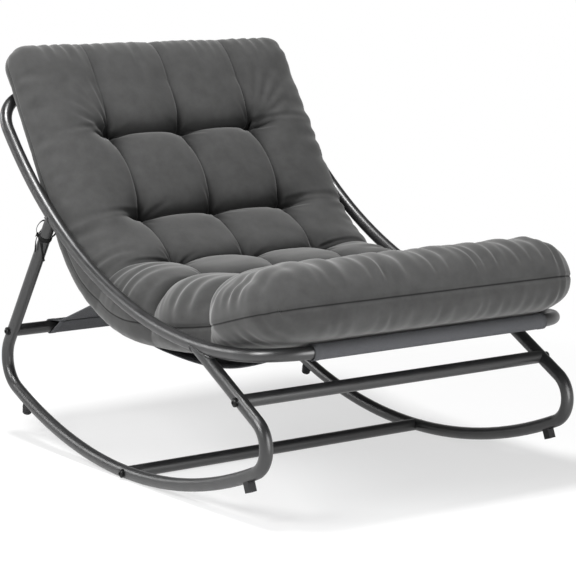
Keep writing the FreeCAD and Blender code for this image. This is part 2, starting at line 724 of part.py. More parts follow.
def support_line(inset, lift):
    """Curve beside the sling's middle: two straight runs and two bows, as corner points with radii.

    inset is how far it lies inside the sling's bows, lift how far it passes above the tubes' middles.
    """
    front = seat_tilt(size.seat_radius - inset + lift)
    back = back_tilt(size.crease_radius - inset + lift)
    low = sling_low + flat(0, inset)
    front_run = along(-front)
    back_run = along(back)
    front_foot = front_tube_at + along(90 - front) * lift
    back_foot = top_tube_at + along(90 + back) * lift
    seat_corner = meeting(front_foot, front_run, low, along(0))
    crease_corner = meeting(back_foot, back_run, low, along(0))
    return SimpleNamespace(
        front_run=front_run,
        back_run=back_run,
        front_foot=front_foot,
        back_foot=back_foot,
        corners=[(seat_corner, size.seat_radius - inset), (crease_corner, size.crease_radius - inset)],
    )


def add_sleeve(body, name, tube_at, towards):
    """Sleeve drawn tight against the far side of its tube and sewn shut on the panel's side."""
    sketch = new_sketch(body, name, "YZ_Plane")
    inner = tube_radius + size.sleeve_slack
    outer = inner + size.sling_thick
    centre = tube_at + towards * (size.sleeve_slack - size.soft_gap)
    add_loop(sketch, teardrop(centre, towards, inner, size.sleeve_seam))
    add_loop(sketch, teardrop(centre, towards, outer, size.sleeve_seam * outer / inner))
    pad(body, sketch, sling_width, SLING_WIDTH, middle=True)


def build_sling():
    """Panel from the front tube's sleeve, under the seat and up the back to the top tube's sleeve."""
    body = new_body("sling")
    middle = support_line(0, 0)
    half_thick = size.sling_thick / 2
    upper = support_line(half_thick, half_thick)
    lower = support_line(-half_thick, -half_thick)
    front_start = middle.front_run * size.sleeve_seam
    back_start = middle.back_run * -size.sleeve_seam
    outline = [(upper.front_foot + front_start, 0), *upper.corners, (upper.back_foot + back_start, 0)]
    outline += [(lower.back_foot + back_start, 0), *lower.corners[::-1], (lower.front_foot + front_start, 0)]
    panel = new_sketch(body, "panel", "YZ_Plane")
    add_loop(panel, rounded(outline))
    pad(body, panel, sling_width, SLING_WIDTH, middle=True)
    add_sleeve(body, "front_sleeve", front_tube_at, middle.front_run)
    add_sleeve(body, "top_sleeve", top_tube_at, middle.back_run * -1)
    return body


def build_sling_anchor():
    """Panel that holds the sling's crease back to the rear cross bar."""
    body = new_body("sling_anchor")
    bar_at = BARS["rear_cross_bar"][0]
    outward = along(90 + size.anchor_angle) * -1
    half_thick = size.sling_thick / 2
    under_sling = crease_centre + outward * (size.crease_radius + half_thick + size.soft_gap)
    run = (under_sling - bar_at).normalize()
    across = Vector(-run.y, run.x, 0) * half_thick
    sewn_at = under_sling + outward * abs(across.dot(outward))
    start = bar_at + run * size.sleeve_seam
    panel = new_sketch(body, "panel", "YZ_Plane")
    corners = [start + across, start - across, sewn_at - across, sewn_at + across]
    add_loop(panel, rounded([(corner, 0) for corner in corners]))
    pad(body, panel, sling_width, SLING_WIDTH, middle=True)
    add_sleeve(body, "bar_sleeve", bar_at, run)
    return body


def cushion_faces(drawn_in):
    """Underside and upper side of the cushion, drawn in by a distance, as corner points with radii."""
    under = support_line(cushion_inset + drawn_in, cushion_lift + drawn_in)
    front_up = Vector(-under.front_run.y, under.front_run.x, 0)
    back_up = Vector(-under.back_run.y, under.back_run.x, 0)
    front_end = under.front_foot - under.front_run * (size.front_overhang - drawn_in)
    top_end = under.back_foot + under.back_run * (size.top_overhang - drawn_in)
    front_crown = front_end + front_up * (size.seat_thick - 2 * drawn_in)
    top_crown = top_end + back_up * (size.back_thick - 2 * drawn_in)
    crease = meeting(front_crown, under.front_run, top_crown, under.back_run)
    front_round = min(size.end_round, size.seat_thick / 2) - drawn_in
    top_round = min(size.end_round, size.back_thick / 2) - drawn_in
    lower = [(front_end, front_round), *under.corners, (top_end, top_round)]
    upper = [(top_crown, top_round), (crease, size.cushion_crease + drawn_in), (front_crown, front_round)]
    return lower, upper


def cushion_outline(drawn_in):
    lower, upper = cushion_faces(drawn_in)
    return rounded(lower + upper)


def wire(edges):
    return Part.Wire([edge.toShape() for edge in edges])


# Rounding of the cushion's long edges, limited by its thinnest place and its ends
half_cushion = half_width - tube_radius - size.cushion_room
cushion_wires = [wire(rounded(face, closed=False)) for face in cushion_faces(0)]
cushion_wall = cushion_wires[0].distToShape(cushion_wires[1])[0]
rim_round = min(size.side_round, 0.8 * size.end_round, 0.4 * cushion_wall)
# Its steps: how far out from the chair's middle, and how far the outline is drawn in there
rim_middle = half_cushion - rim_round
RIM_STEPS = [
    (rim_middle + rim_round * along(turn).y, rim_round * (1 - along(turn).x)) for turn in (0, 30, 60, 90)
]


def cushion_side(at):
    """How far from the chair's middle the cushion's side is, level with a point inside its side view."""
    depth = wire(cushion_outline(0)).distToShape(Part.Vertex(at))[0]
    for (inner, shallow), (outer, deep) in zip(RIM_STEPS[:-1], RIM_STEPS[1:]):
        if depth < deep:
            return inner + (outer - inner) * (depth - shallow) / (deep - shallow)
    return half_cushion


def build_cushion():
    """Thick pad on the sling, from past the front tube to past the top tube, with rounded long edges."""
    body = new_body("cushion")
    steps = [(-x, drawn_in) for x, drawn_in in RIM_STEPS[::-1]] + RIM_STEPS
    outlines = []
    for number, (x, drawn_in) in enumerate(steps):
        sketch = new_sketch(body, f"side_view_{number}", "YZ_Plane", Placement(Vector(0, 0, x), Rotation()))
        add_loop(sketch, cushion_outline(drawn_in))
        outlines.append(sketch)
    doc.recompute()
    loft = body.newObject("PartDesign::AdditiveLoft", "cushion_pad")
    loft.Profile = outlines[0]
    loft.Sections = outlines[1:]
    loft.Ruled = True
    return body


# Cushion ties, modelled about a strut that lies along Z through the origin


def tie_place():
    """Point of the rear strut's centre line beside the cushion's underside, and clear of the side rail."""
    strut = Part.LineSegment(rear_strut_top, rear_strut_foot).toShape()
    underside = wire(rounded(cushion_faces(size.tie_depth)[0], closed=False))
    distance, points, kinds = strut.distToShape(underside)
    drop = max((points[0][0] - rear_strut_top).Length, tube_radius + size.tie_width)
    return rear_strut_top - rear_strut_line * drop


def build_tie(side):
    """Tape sewn to the cushion's edge, taken round the strut and knotted, with two free ends."""
    sign = SIDES[side]
    body = new_body(f"{side}_cushion_tie")
    inner = size.tube_dia + 2 * size.soft_gap
    outer = inner + 2 * size.tie_thick
    loop = new_sketch(body, "loop", "XY_Plane")
    add_circle(loop, outer, "Dims.tube_dia + 2 * Dims.soft_gap + 2 * Dims.tie_thick")
    add_circle(loop, inner, "Dims.tube_dia + 2 * Dims.soft_gap")
    pad(body, loop, size.tie_width, "Dims.tie_width", middle=True)
    # Tab on the strut's inner side, to the cushion's edge
    at = tie_place()
    across_strut = Vector(-rear_strut_line.y, rear_strut_line.x, 0)
    tape_corners = [
        at + rear_strut_line * (up * size.tie_width / 2) + across_strut * (over * size.tie_thick / 2)
        for up in (-1, 1)
        for over in (-1, 1)
    ]
    root = outer / 2 - size.tie_thick / 2
    tip = half_width - max(cushion_side(corner) for corner in tape_corners) - size.soft_gap
    half_thick = size.tie_thick / 2
    tab_corners = [(root, -half_thick), (tip, -half_thick), (tip, half_thick), (root, half_thick)]
    tab = new_sketch(body, "tab", "XY_Plane")
    add_loop(tab, rounded([(Vector(-sign * x, y, 0), 0) for x, y in tab_corners]))
    pad(body, tab, size.tie_width, "Dims.tie_width", middle=True)
    # Knot behind the strut, and the free ends that hang from it
    knot_y = outer / 2 + size.knot_size / 4
    knot = new_sketch(body, "knot", "XZ_Plane", Placement(Vector(0, 0, -knot_y), Rotation()))
    add_circle(knot, size.knot_size, "Dims.knot_size")
    pad(body, knot, size.knot_depth, "Dims.knot_depth", middle=True)
    tails = (
        ("tail", size.tail_length, size.tail_lean),
        ("short_tail", size.tail_short, size.tail_short_lean),
    )
    for name, length, lean in tails:
        strip_place = Placement(Vector(0, 0, -knot_y), Rotation(Z_AXIS, lean))
        strip = new_sketch(body, name, "XZ_Plane", strip_place)
        half_tape = size.tie_width / 2
        corners = [(-half_tape, 0), (half_tape, 0), (half_tape, -length), (-half_tape, -length)]
        add_loop(strip, rounded([(Vector(x, z, 0), 0) for x, z in corners]))
        pad(body, strip, size.tie_thick, "Dims.tie_thick", middle=True)
    body.Placement = in_side_view(sign * half_width, at, 90 - size.rear_strut_tilt)
    return body


def build_chair():
    """Every piece of the chair, as the objects that name the files."""
    pieces = []
    for side in SIDES:
        pieces += [build_rocker(side), build_side_rail(side)]
        pieces += [build_front_stop(side), build_rear_stop(side), build_tie(side)]
    pieces.append(build_hoop_tube("front_tube", front_tube_at, size.front_corner))
    pieces.append(build_hoop_tube("top_tube", top_tube_at, size.top_corner))
    pieces += [build_cross_bar(label, at, slope) for label, (at, slope) in BARS.items()]
    pieces += [build_sling(), build_sling_anchor(), build_cushion()]
    models = {"bolt": build_bolt(), "washer": build_washer(), "plug": build_plug(), "screw": build_screw()}
    doc.recompute()
    under_head = half_width + tube_radius + size.washer_thick
    plug_face = half_width - tube_radius - size.weld_gap - size.plug_gap
    pieces.append(group("bar_bolts", models["bolt"], bar_end_places(under_head)))
    pieces.append(group("saddle_washers", models["washer"], bar_end_places(under_head)))
    pieces.append(group("threaded_plugs", models["plug"], bar_end_places(plug_face)))
    pieces.append(group("stop_screws", models["screw"], stop_screw_places()))
    doc.recompute()
    return pieces


def check(pieces):
    """Stops at a feature that failed or a piece whose solid is missing or broken."""
    for item in doc.Objects:
        if {"Invalid", "Error"} & set(item.State):
            raise RuntimeError(f"{item.Label} failed: {item.State} {item.getStatusString()}")
    for piece in pieces:
        if piece.Shape.isNull() or not piece.Shape.isValid() or not piece.Shape.Solids:
            raise RuntimeError(f"{piece.Label} has no valid solid")


chair = build_chair()
check(chair)
os.makedirs("parts", exist_ok=True)
for piece in chair:
    piece.Shape.exportStep(f"parts/{piece.Label}.step")
    print(piece.Label, len(piece.Shape.Solids), "solids", round(piece.Shape.Volume / 1000, 1), "cm3")
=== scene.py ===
"""Looks of the rocking lounge chair: powder-coated tubes, a woven sling and a tufted cushion.

Lengths are millimetres until a mesh is made, which is in metres. The chair faces -Y.
"""
import math

import bpy
import numpy as np
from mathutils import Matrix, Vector


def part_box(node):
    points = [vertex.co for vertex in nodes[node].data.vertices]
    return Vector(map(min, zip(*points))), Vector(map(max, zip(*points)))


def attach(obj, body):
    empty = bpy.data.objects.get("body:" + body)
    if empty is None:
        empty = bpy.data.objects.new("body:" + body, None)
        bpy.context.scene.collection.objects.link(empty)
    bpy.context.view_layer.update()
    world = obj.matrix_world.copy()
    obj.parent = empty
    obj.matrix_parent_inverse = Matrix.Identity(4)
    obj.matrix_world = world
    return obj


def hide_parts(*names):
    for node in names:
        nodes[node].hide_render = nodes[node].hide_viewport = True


MM = 0.001

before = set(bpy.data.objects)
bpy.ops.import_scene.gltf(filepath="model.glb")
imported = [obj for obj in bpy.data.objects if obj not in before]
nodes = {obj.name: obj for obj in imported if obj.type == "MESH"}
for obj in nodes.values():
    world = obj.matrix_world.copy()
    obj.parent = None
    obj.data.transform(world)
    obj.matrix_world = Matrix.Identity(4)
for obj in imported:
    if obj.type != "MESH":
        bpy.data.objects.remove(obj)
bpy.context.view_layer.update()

# Camera and light

VIEW_TARGET = (0, -28, 345)
VIEW_AZIMUTH = -36.07
VIEW_ELEVATION = 9.15
VIEW_DISTANCE = 4352
VIEW_LENS = 136.06
FLOOR_SIZE = 24
FLOOR_SHADOW = (0.8, 1.5)
FLOOR_GLOW = (0.62, 1)
CEILING = 0.06
FILL = 0.08
HORIZON = (0.02, 0.6)
LAMP_TARGET = (0, 0, 0.35)
# Azimuth, elevation, distance and width in metres, and power in watts
LAMPS = {
    "overhead": (-90, 80, 4.0, 1.0, 185),
    "left_key": (-78, 30, 1.9, 0.8, 28),
    "front_fill": (0, 4, 1.7, 1.0, 15),
    "rail_light": (-144, 22, 2.6, 1.0, 16),
}


def on_sphere(azimuth, elevation, distance):
    """Point around the origin: azimuth 0 is in front of the chair, positive to its +X side."""
    turn, rise = math.radians(azimuth), math.radians(elevation)
    flat = distance * math.cos(rise)
    return Vector((flat * math.sin(turn), -flat * math.cos(turn), distance * math.sin(rise)))


def aim(thing, target):
    """Points a camera or a light at a place."""
    thing.rotation_euler = (target - thing.location).to_track_quat("-Z", "Y").to_euler()


def add_camera():
    """The photograph's view of the chair."""
    target = Vector(VIEW_TARGET) * MM
    data = bpy.data.cameras.new("view")
    data.lens = VIEW_LENS
    data.sensor_width = 36
    camera = bpy.data.objects.new("view", data)
    camera.location = target + on_sphere(VIEW_AZIMUTH, VIEW_ELEVATION, VIEW_DISTANCE) * MM
    bpy.context.scene.collection.objects.link(camera)
    aim(camera, target)
    bpy.context.scene.camera = camera


def add_softbox(name, azimuth, elevation, distance, width, power):
    """Round lamp that faces the chair."""
    target = Vector(LAMP_TARGET)
    data = bpy.data.lights.new(name, "AREA")
    data.shape = "DISK"
    data.size = width
    data.energy = power
    lamp = bpy.data.objects.new(name, data)
    lamp.location = target + on_sphere(azimuth, elevation, distance)
    bpy.context.scene.collection.objects.link(lamp)
    aim(lamp, target)


def add_node(tree, kind, **values):
    """Node with some of its inputs set by name."""
    node = tree.nodes.new(f"ShaderNode{kind}")
    for name, value in values.items():
        node.inputs[name.replace("_", " ")].default_value = value
    return node


def add_math(tree, operation, first, second):
    """Result of an operation of the Math node on two sockets or numbers."""
    node = tree.nodes.new("ShaderNodeMath")
    node.operation = operation
    for socket, value in zip(node.inputs, (first, second)):
        if isinstance(value, (int, float)):
            socket.default_value = value
        else:
            tree.links.new(value, socket)
    return node.outputs[0]


def add_range(tree, value, from_low, from_high, to_low, to_high):
    """Value taken from one range to another and kept inside it."""
    node = tree.nodes.new("ShaderNodeMapRange")
    for socket, number in zip(node.inputs[1:5], (from_low, from_high, to_low, to_high)):
        socket.default_value = number
    tree.links.new(value, node.inputs[0])
    return node.outputs[0]


def add_mix(tree, factor, first, second):
    """Blend from a first colour to a second, each a socket or three numbers."""
    node = add_node(tree, "Mix")
    node.data_type = "RGBA"
    tree.links.new(factor, node.inputs["Factor"])
    for name, value in (("A", first), ("B", second)):
        if isinstance(value, tuple):
            node.inputs[name].default_value = (*value, 1)
        else:
            tree.links.new(value, node.inputs[name])
    return node.outputs["Result"]


def read_mark(tree, name):
    """Value that the points of a piece carry under a name."""
    node = tree.nodes.new("ShaderNodeAttribute")
    node.attribute_name = name
    return node.outputs["Fac"]


def seen_rays(tree):
    """1 for rays that show the background: to the camera, mirrored or through glass."""
    path = tree.nodes.new("ShaderNodeLightPath")
    mirrored = add_math(tree, "MAXIMUM", path.outputs["Is Glossy Ray"], path.outputs["Is Transmission Ray"])
    return add_math(tree, "MAXIMUM", path.outputs["Is Camera Ray"], mirrored)


def add_world():
    """White studio round the horizon with a dim ceiling, and less of the same as fill light."""
    world = bpy.data.worlds.new("studio")
    bpy.context.scene.world = world
    world.use_nodes = True
    tree = world.node_tree
    tree.nodes.clear()
    place = tree.nodes.new("ShaderNodeTexCoord")
    split = tree.nodes.new("ShaderNodeSeparateXYZ")
    tree.links.new(place.outputs["Generated"], split.inputs[0])
    level = add_range(tree, split.outputs["Z"], *HORIZON, 1, CEILING)
    seen = add_node(tree, "Background", Color=(1, 1, 1, 1))
    fill = add_node(tree, "Background", Color=(1, 1, 1, 1), Strength=FILL)
    choose = tree.nodes.new("ShaderNodeMixShader")
    out = tree.nodes.new("ShaderNodeOutputWorld")
    tree.links.new(level, seen.inputs["Strength"])
    tree.links.new(seen_rays(tree), choose.inputs[0])
    tree.links.new(fill.outputs[0], choose.inputs[1])
    tree.links.new(seen.outputs[0], choose.inputs[2])
    tree.links.new(choose.outputs[0], out.inputs[0])


# Effects that several materials share


def new_group(name, inputs, outputs):
    """Node group whose sockets are given as name to kind."""
    group = bpy.data.node_groups.new(name, "ShaderNodeTree")
    for label, kind in inputs.items():
        group.interface.new_socket(label, in_out="INPUT", socket_type=f"NodeSocket{kind}")
    for label, kind in outputs.items():
        group.interface.new_socket(label, in_out="OUTPUT", socket_type=f"NodeSocket{kind}")
    return group, group.nodes.new("NodeGroupInput"), group.nodes.new("NodeGroupOutput")


def grain_group():
    """Fine grain: bumps from noise in the object's own space."""
    inputs = {"Scale": "Float", "Height": "Float"}
    group, given, result = new_group("fine_grain", inputs, {"Normal": "Vector"})
    place = group.nodes.new("ShaderNodeTexCoord")
    noise = add_node(group, "TexNoise", Detail=3)
    bump = add_node(group, "Bump", Strength=1)
    links = group.links
    links.new(place.outputs["Object"], noise.inputs["Vector"])
    links.new(given.outputs["Scale"], noise.inputs["Scale"])
    links.new(given.outputs["Height"], bump.inputs["Distance"])
    links.new(noise.outputs["Fac"], bump.inputs["Height"])
    links.new(bump.outputs["Normal"], result.inputs["Normal"])
    return group


def mottle_group():
    """Uneven tone: a colour made lighter and darker by soft noise in the object's own space."""
    inputs = {"Color": "Color", "Scale": "Float", "Amount": "Float"}
    group, given, result = new_group("mottle", inputs, {"Color": "Color"})
    place = group.nodes.new("ShaderNodeTexCoord")
    noise = add_node(group, "TexNoise", Detail=4, Roughness=0.6)
    links = group.links
    links.new(place.outputs["Object"], noise.inputs["Vector"])
    links.new(given.outputs["Scale"], noise.inputs["Scale"])
    swing = add_math(group, "SUBTRACT", noise.outputs["Fac"], 0.5)
    swing = add_math(group, "MULTIPLY", swing, given.outputs["Amount"])
    swing = add_math(group, "ADD", swing, 1)
    scaled = group.nodes.new("ShaderNodeVectorMath")
    scaled.operation = "SCALE"
    links.new(given.outputs["Color"], scaled.inputs[0])
    links.new(swing, scaled.inputs["Scale"])
    links.new(scaled.outputs[0], result.inputs["Color"])
    return group


def weave_group():
    """Plain weave on the cloth's own map, in threads per metre."""
    inputs = {"Threads": "Float", "Height": "Float"}
    group, given, result = new_group("plain_weave", inputs, {"Normal": "Vector", "Thread": "Float"})
    place = group.nodes.new("ShaderNodeUVMap")
    place.uv_map = "cloth"
    split = group.nodes.new("ShaderNodeSeparateXYZ")
    group.links.new(place.outputs[0], split.inputs[0])
    turn = add_math(group, "MULTIPLY", given.outputs["Threads"], math.pi)
    waves = []
    for axis in ("X", "Y"):
        waves.append(add_math(group, "SINE", add_math(group, "MULTIPLY", split.outputs[axis], turn), 0))
    over = add_math(group, "MULTIPLY", *waves)
    thread = add_math(group, "ABSOLUTE", over, 0)
    bump = add_node(group, "Bump", Strength=1)
    group.links.new(given.outputs["Height"], bump.inputs["Distance"])
    group.links.new(thread, bump.inputs["Height"])
    group.links.new(bump.outputs["Normal"], result.inputs["Normal"])
    group.links.new(thread, result.inputs["Thread"])
    return group


GRAIN = grain_group()
MOTTLE = mottle_group()
WEAVE = weave_group()


def place_group(material, group, **values):
    """Shared effect in a material, with its own values."""
    node = material.node_tree.nodes.new("ShaderNodeGroup")
    node.node_tree = group
    for name, value in values.items():
        node.inputs[name].default_value = value
    return node


# Materials

COAT_COLOUR = (0.013, 0.013, 0.0135)
COAT_ROUGHNESS = (0.32, 0.42)
RUBBER_COLOUR = (0.022, 0.022, 0.023)
OXIDE_COLOUR = (0.02, 0.02, 0.02)
PLUG_COLOUR = (0.4, 0.4, 0.4)
SLING_COLOUR = (0.105, 0.107, 0.114)
TAPE_COLOUR = (0.012, 0.012, 0.012)
THREAD_GAP_SHADE = 0.55
PILE_FACE = (0.053, 0.053, 0.0525)
# Painted sheen: a paler colour mixed into the cushion's base colour where it turns away from the view, by a
# power of the facing
PILE_SHEEN_RIM = (0.21, 0.21, 0.207)
PILE_SHEEN_POWER = 3.2
# Painted shade in the creases and at the tufts, and the dark colour that this shade shares with the seam
# thread
PILE_CREASE_SHADE = (0.06, 0.6, 0, 0.92)
PILE_THREAD_AND_SHADE = (0.018, 0.018, 0.018)
SEAM_THREAD = (0.78, 0.95, 0, 1)


def principled(name, colour, roughness, specular=0.5):
    """New material with its main shader, which is returned too."""
    material = bpy.data.materials.new(name)
    material.use_nodes = True
    shader = material.node_tree.nodes["Principled BSDF"]
    shader.inputs["Base Color"].default_value = (*colour, 1)
    shader.inputs["Roughness"].default_value = roughness
    shader.inputs["Specular IOR Level"].default_value = specular
    return material, shader


def add_grain(material, shader, scale, height):
    node = place_group(material, GRAIN, Scale=scale, Height=height)
    material.node_tree.links.new(node.outputs["Normal"], shader.inputs["Normal"])


def add_mottle(material, shader, colour, scale, amount):
    node = place_group(material, MOTTLE, Color=(*colour, 1), Scale=scale, Amount=amount)
    material.node_tree.links.new(node.outputs["Color"], shader.inputs["Base Color"])
    return node


def coat_material():
    """Satin powder coat: a little orange peel and uneven gloss."""
    material, shader = principled("satin_coat", COAT_COLOUR, COAT_ROUGHNESS[0], 0.8)
    add_grain(material, shader, 900, 0.00002)
    add_mottle(material, shader, COAT_COLOUR, 14, 0.5)
    tree = material.node_tree
    place = tree.nodes.new("ShaderNodeTexCoord")
    noise = add_node(tree, "TexNoise", Scale=40, Detail=3)
    tree.links.new(place.outputs["Object"], noise.inputs["Vector"])
    gloss = add_range(tree, noise.outputs["Fac"], 0.3, 0.7, *COAT_ROUGHNESS)
    tree.links.new(gloss, shader.inputs["Roughness"])
    return material


def steel_material(name, colour, roughness):
    material, shader = principled(name, colour, roughness)
    shader.inputs["Metallic"].default_value = 0.8
    add_grain(material, shader, 900, 0.00004)
    add_mottle(material, shader, colour, 90, 0.7)
    return material


def rubber_material():
    material, shader = principled("stop_rubber", RUBBER_COLOUR, 0.7, 0.3)
    add_grain(material, shader, 500, 0.0001)
    add_mottle(material, shader, RUBBER_COLOUR, 60, 0.8)
    return material


def woven_material(name, colour, threads, height):
    """Woven threads, darker between them."""
    material, shader = principled(name, colour, 0.85, 0.2)
    tree = material.node_tree
    weave = place_group(material, WEAVE, Threads=threads, Height=height)
    tree.links.new(weave.outputs["Normal"], shader.inputs["Normal"])
    tone = add_mottle(material, shader, colour, 260, 0.5)
    gap = tuple(value * THREAD_GAP_SHADE for value in colour)
    shade = add_mix(tree, weave.outputs["Thread"], gap, tone.outputs["Color"])
    tree.links.new(shade, shader.inputs["Base Color"])
    return material


def cushion_material():
    """Brushed pile with painted sheen: darker straight on and paler where it turns away from the view.

    Painted shade darkens it in its creases and at its tufts, and a dark thread runs in its seam.
    """
    material, shader = principled("brushed_pile", PILE_FACE, 0.92, 0.1)
    shader.inputs["Sheen Weight"].default_value = 0.15
    shader.inputs["Sheen Roughness"].default_value = 0.35
    shader.inputs["Sheen Tint"].default_value = (0.85, 0.85, 0.85, 1)
    add_grain(material, shader, 900, 0.00012)
    tree = material.node_tree
    tone = add_mottle(material, shader, PILE_FACE, 34, 0.6)
    # Painted sheen: the facing, raised to a power, mixes the base colour towards the paler rim colour at
    # grazing angles
    facing = add_node(tree, "LayerWeight", Blend=0.5)
    steep = add_math(tree, "POWER", facing.outputs["Facing"], PILE_SHEEN_POWER)
    # Painted shade: the colour darkens where the top sits low between its crests, in the creases and at the
    # tufts
    painted_shade = add_range(tree, read_mark(tree, "crease_shade"), *PILE_CREASE_SHADE)
    sewn = add_range(tree, read_mark(tree, "seam"), *SEAM_THREAD)
    shade = add_mix(tree, steep, tone.outputs["Color"], PILE_SHEEN_RIM)
    shade = add_mix(tree, painted_shade, shade, PILE_THREAD_AND_SHADE)
    shade = add_mix(tree, sewn, shade, PILE_THREAD_AND_SHADE)
    tree.links.new(shade, shader.inputs["Base Color"])
    return material


def paint(node_names, material):
    """Gives CAD nodes their finish."""
    for name in node_names:
        for slot in nodes[name].material_slots:
            slot.material = material


SIDES = {"left": -1, "right": 1}
TUBES = [f"{side}_rocker" for side in SIDES] + [f"{side}_side_rail" for side in SIDES]
TUBES += ["front_tube", "top_tube", "rear_cross_bar", "front_cross_bar", "lower_cross_bar"]
STOPS = [f"{side}_{end}_stop" for side in SIDES for end in ("front", "rear")]
COAT = coat_material()

paint(TUBES, COAT)
paint(["bar_bolts", "saddle_washers", "stop_screws"], steel_material("black_oxide", OXIDE_COLOUR, 0.4))
paint(["threaded_plugs"], steel_material("bare_steel", PLUG_COLOUR, 0.35))
paint(STOPS, rubber_material())

# Side views that several soft pieces share


def middle_of(node):
    """Middle of a tube across the chair, in the side view (y, z)."""
    low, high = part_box(node)
    return (np.array(low) + np.array(high))[1:] / 2 / MM


class SideCurve:
    """Side view: straight down the back, round the crease and the seat, and straight to the front.

    Points are found by their distance from the top end.
    """

    def __init__(self, low, back, crease_radius, seat_radius, front):
        """low is the lowest point, and back and front are a tilt in degrees and a straight run."""
        back_tilt, front_tilt = math.radians(back[0]), math.radians(front[0])
        steps = [0, back[1], back_tilt * crease_radius, front_tilt * seat_radius, front[1]]
        self.stations = np.cumsum(steps)
        self.length = self.stations[-1]
        self.fine = np.linspace(0, self.length, 6001)
        self.tilt = np.interp(self.fine, self.stations, (back_tilt, back_tilt, 0, -front_tilt, -front_tilt))
        step = self.fine[1]
        self.y = -np.cumsum(np.cos(self.tilt)) * step
        self.z = -np.cumsum(np.sin(self.tilt)) * step
        self.y += low[0] - np.interp(self.stations[2], self.fine, self.y)
        self.z += low[1] - np.interp(self.stations[2], self.fine, self.z)

    def at(self, distance):
        """Points (y, z), and the normals towards the sitter."""
        here = np.interp(distance, self.fine, self.tilt)
        points = np.stack([np.interp(distance, self.fine, line) for line in (self.y, self.z)], axis=-1)
        return points, np.stack([-np.sin(here), np.cos(here)], axis=-1)


def new_object(name, points, faces):
    """Object at the origin from points in metres."""
    mesh = bpy.data.meshes.new(name)
    mesh.from_pydata(np.asarray(points).tolist(), [], np.asarray(faces).tolist())
    mesh.validate()
    thing = bpy.data.objects.new(name, mesh)
    bpy.context.scene.collection.objects.link(thing)
    return thing


def grid_faces(index):
    """Quads between the neighbours of a grid of point numbers."""
    corners = [index[:-1, :-1], index[1:, :-1], index[1:, 1:], index[:-1, 1:]]
    return np.stack(corners, axis=-1).reshape(-1, 4)


def select_only(thing):
    bpy.ops.object.select_all(action="DESELECT")
    thing.select_set(True)
    bpy.context.view_layer.objects.active = thing


def apply_modifiers(thing):
    select_only(thing)
    for modifier in list(thing.modifiers):
        bpy.ops.object.modifier_apply(modifier=modifier.name)


def shade_smooth(thing):
    thing.data.polygons.foreach_set("use_smooth", np.ones(len(thing.data.polygons), dtype=bool))


def read_points(mesh, kind="co"):
    flat = np.empty(len(mesh.vertices) * 3)
    mesh.vertices.foreach_get(kind, flat)
    return flat.reshape(-1, 3)


def map_cloth(thing, flat_map):
    """Map of a woven piece, from a place in metres for each of its points."""
    corners = np.empty(len(thing.data.loops), dtype=int)
    thing.data.loops.foreach_get("vertex_index", corners)
    layer = thing.data.uv_layers.new(name="cloth")
    layer.data.foreach_set("uv", flat_map[corners].ravel())


# Cushion: heights above its underside, by distance from the top edge (s) and from the middle (x)

UNDERSIDE = SideCurve((12, 251.6), (58.85, 426), 354, 1499, (15.2, 151))
LENGTH = UNDERSIDE.length
HALF_WIDTH = 347
TUFT_ROWS = (227, 426, 637, 844, 1052)
TUFT_COLUMNS = (-176, 0, 176)
TUFT_HEIGHTS = (46, 66, 96, 84, 80)
CREST_HEIGHTS = (100, 120, 138, 150, 150, 150)
SEAM_HEIGHTS = (42, 44, 48, 54, 58, 62)
CREASE_ALONG = (0.72, 0.72, 0.70, 0.72, 0.75, 0.97)
CREASE_ACROSS = (0.5, 0.5, 0.42, 0.3, 0.25)
SIDE_FADE = (0.8, 0.65, 0.1, 0, 0)
PILLOW_POWER = 2.4
UNDER_POWER = 0.7
FADE_START = 20
FADE_STOP = 40
EDGE_ZONE = 100
EDGE_POWER = 2.3
CORNER_ROUND = {0: 48, LENGTH: 90}
FRONT_FLARE = {-1: 38, 1: 18}
FLARE_RUN = 90
SIDE_NOTCH = (0, 0, 8, 20, 24)
GRID = 8
CREASE_CROWDING = 0.9
CROWDING_REACH = 16
ROLL_HEIGHT = 85
FABRIC_EASE = (1.03, 1.01, 1.01)
HOLD_CREASE = 0.9
HOLD_RIM = 0.6
UNDER_PLEATS = 0.35
UNDER_PLEATS_RUN = 150
FILL_FRAMES = 22
FILL_PRESSURE = 4.0
FILL_LIMIT = 16

row_borders = (0, *TUFT_ROWS, LENGTH)
ROW_MIDDLES = [(low + high) / 2 for low, high in zip(row_borders[:-1], row_borders[1:])]


def roll_off(inside):
    """Share of its height that the cushion has at a distance inside its seam: none at the seam."""
    depth = np.clip(1 - inside / EDGE_ZONE, 0, 1)
    return (1 - depth**EDGE_POWER) ** (1 / EDGE_POWER)


def spaced(start, stop, rolls):
    """Distances from a line of tufts to the next or to the seam, closer near tufts and on the roll."""
    fine = start + (stop - start) * np.sin(np.linspace(0, math.pi / 2, 3000))
    height = roll_off(np.abs(stop - fine)) * ROLL_HEIGHT * rolls
    near = np.abs(fine - start) if rolls else np.minimum(np.abs(fine - start), np.abs(stop - fine))
    crowding = 1 + CREASE_CROWDING * np.exp(-((near / CROWDING_REACH) ** 2))
    run = np.append(0, np.cumsum(np.hypot(np.diff(fine), np.diff(height)) * crowding[1:]))
    count = round(run[-1] / GRID)
    return np.interp(np.linspace(0, run[-1], count + 1), run, fine)


def grid_lines(tufts, first, last):
    """All distances of the grid one way, from the first edge over the tufts to the last edge."""
    head = spaced(tufts[0], first, 1)[::-1]
    spans = [spaced(low, high, 0)[1:] for low, high in zip(tufts[:-1], tufts[1:])]
    tail = spaced(tufts[-1], last, 1)[1:]
    return np.concatenate([head, *spans, tail])


def from_crease(position, tufts):
    """0 on a line of tufts and 1 half way to the next; past the last line it rises and stays at 1."""
    lines = np.array(tufts, dtype=float)
    after = np.clip(np.searchsorted(lines, position, side="right"), 1, len(lines) - 1)
    half = (lines[after] - lines[after - 1]) / 2
    return np.clip(np.abs(position[..., None] - lines).min(axis=-1) / half, 0, 1)


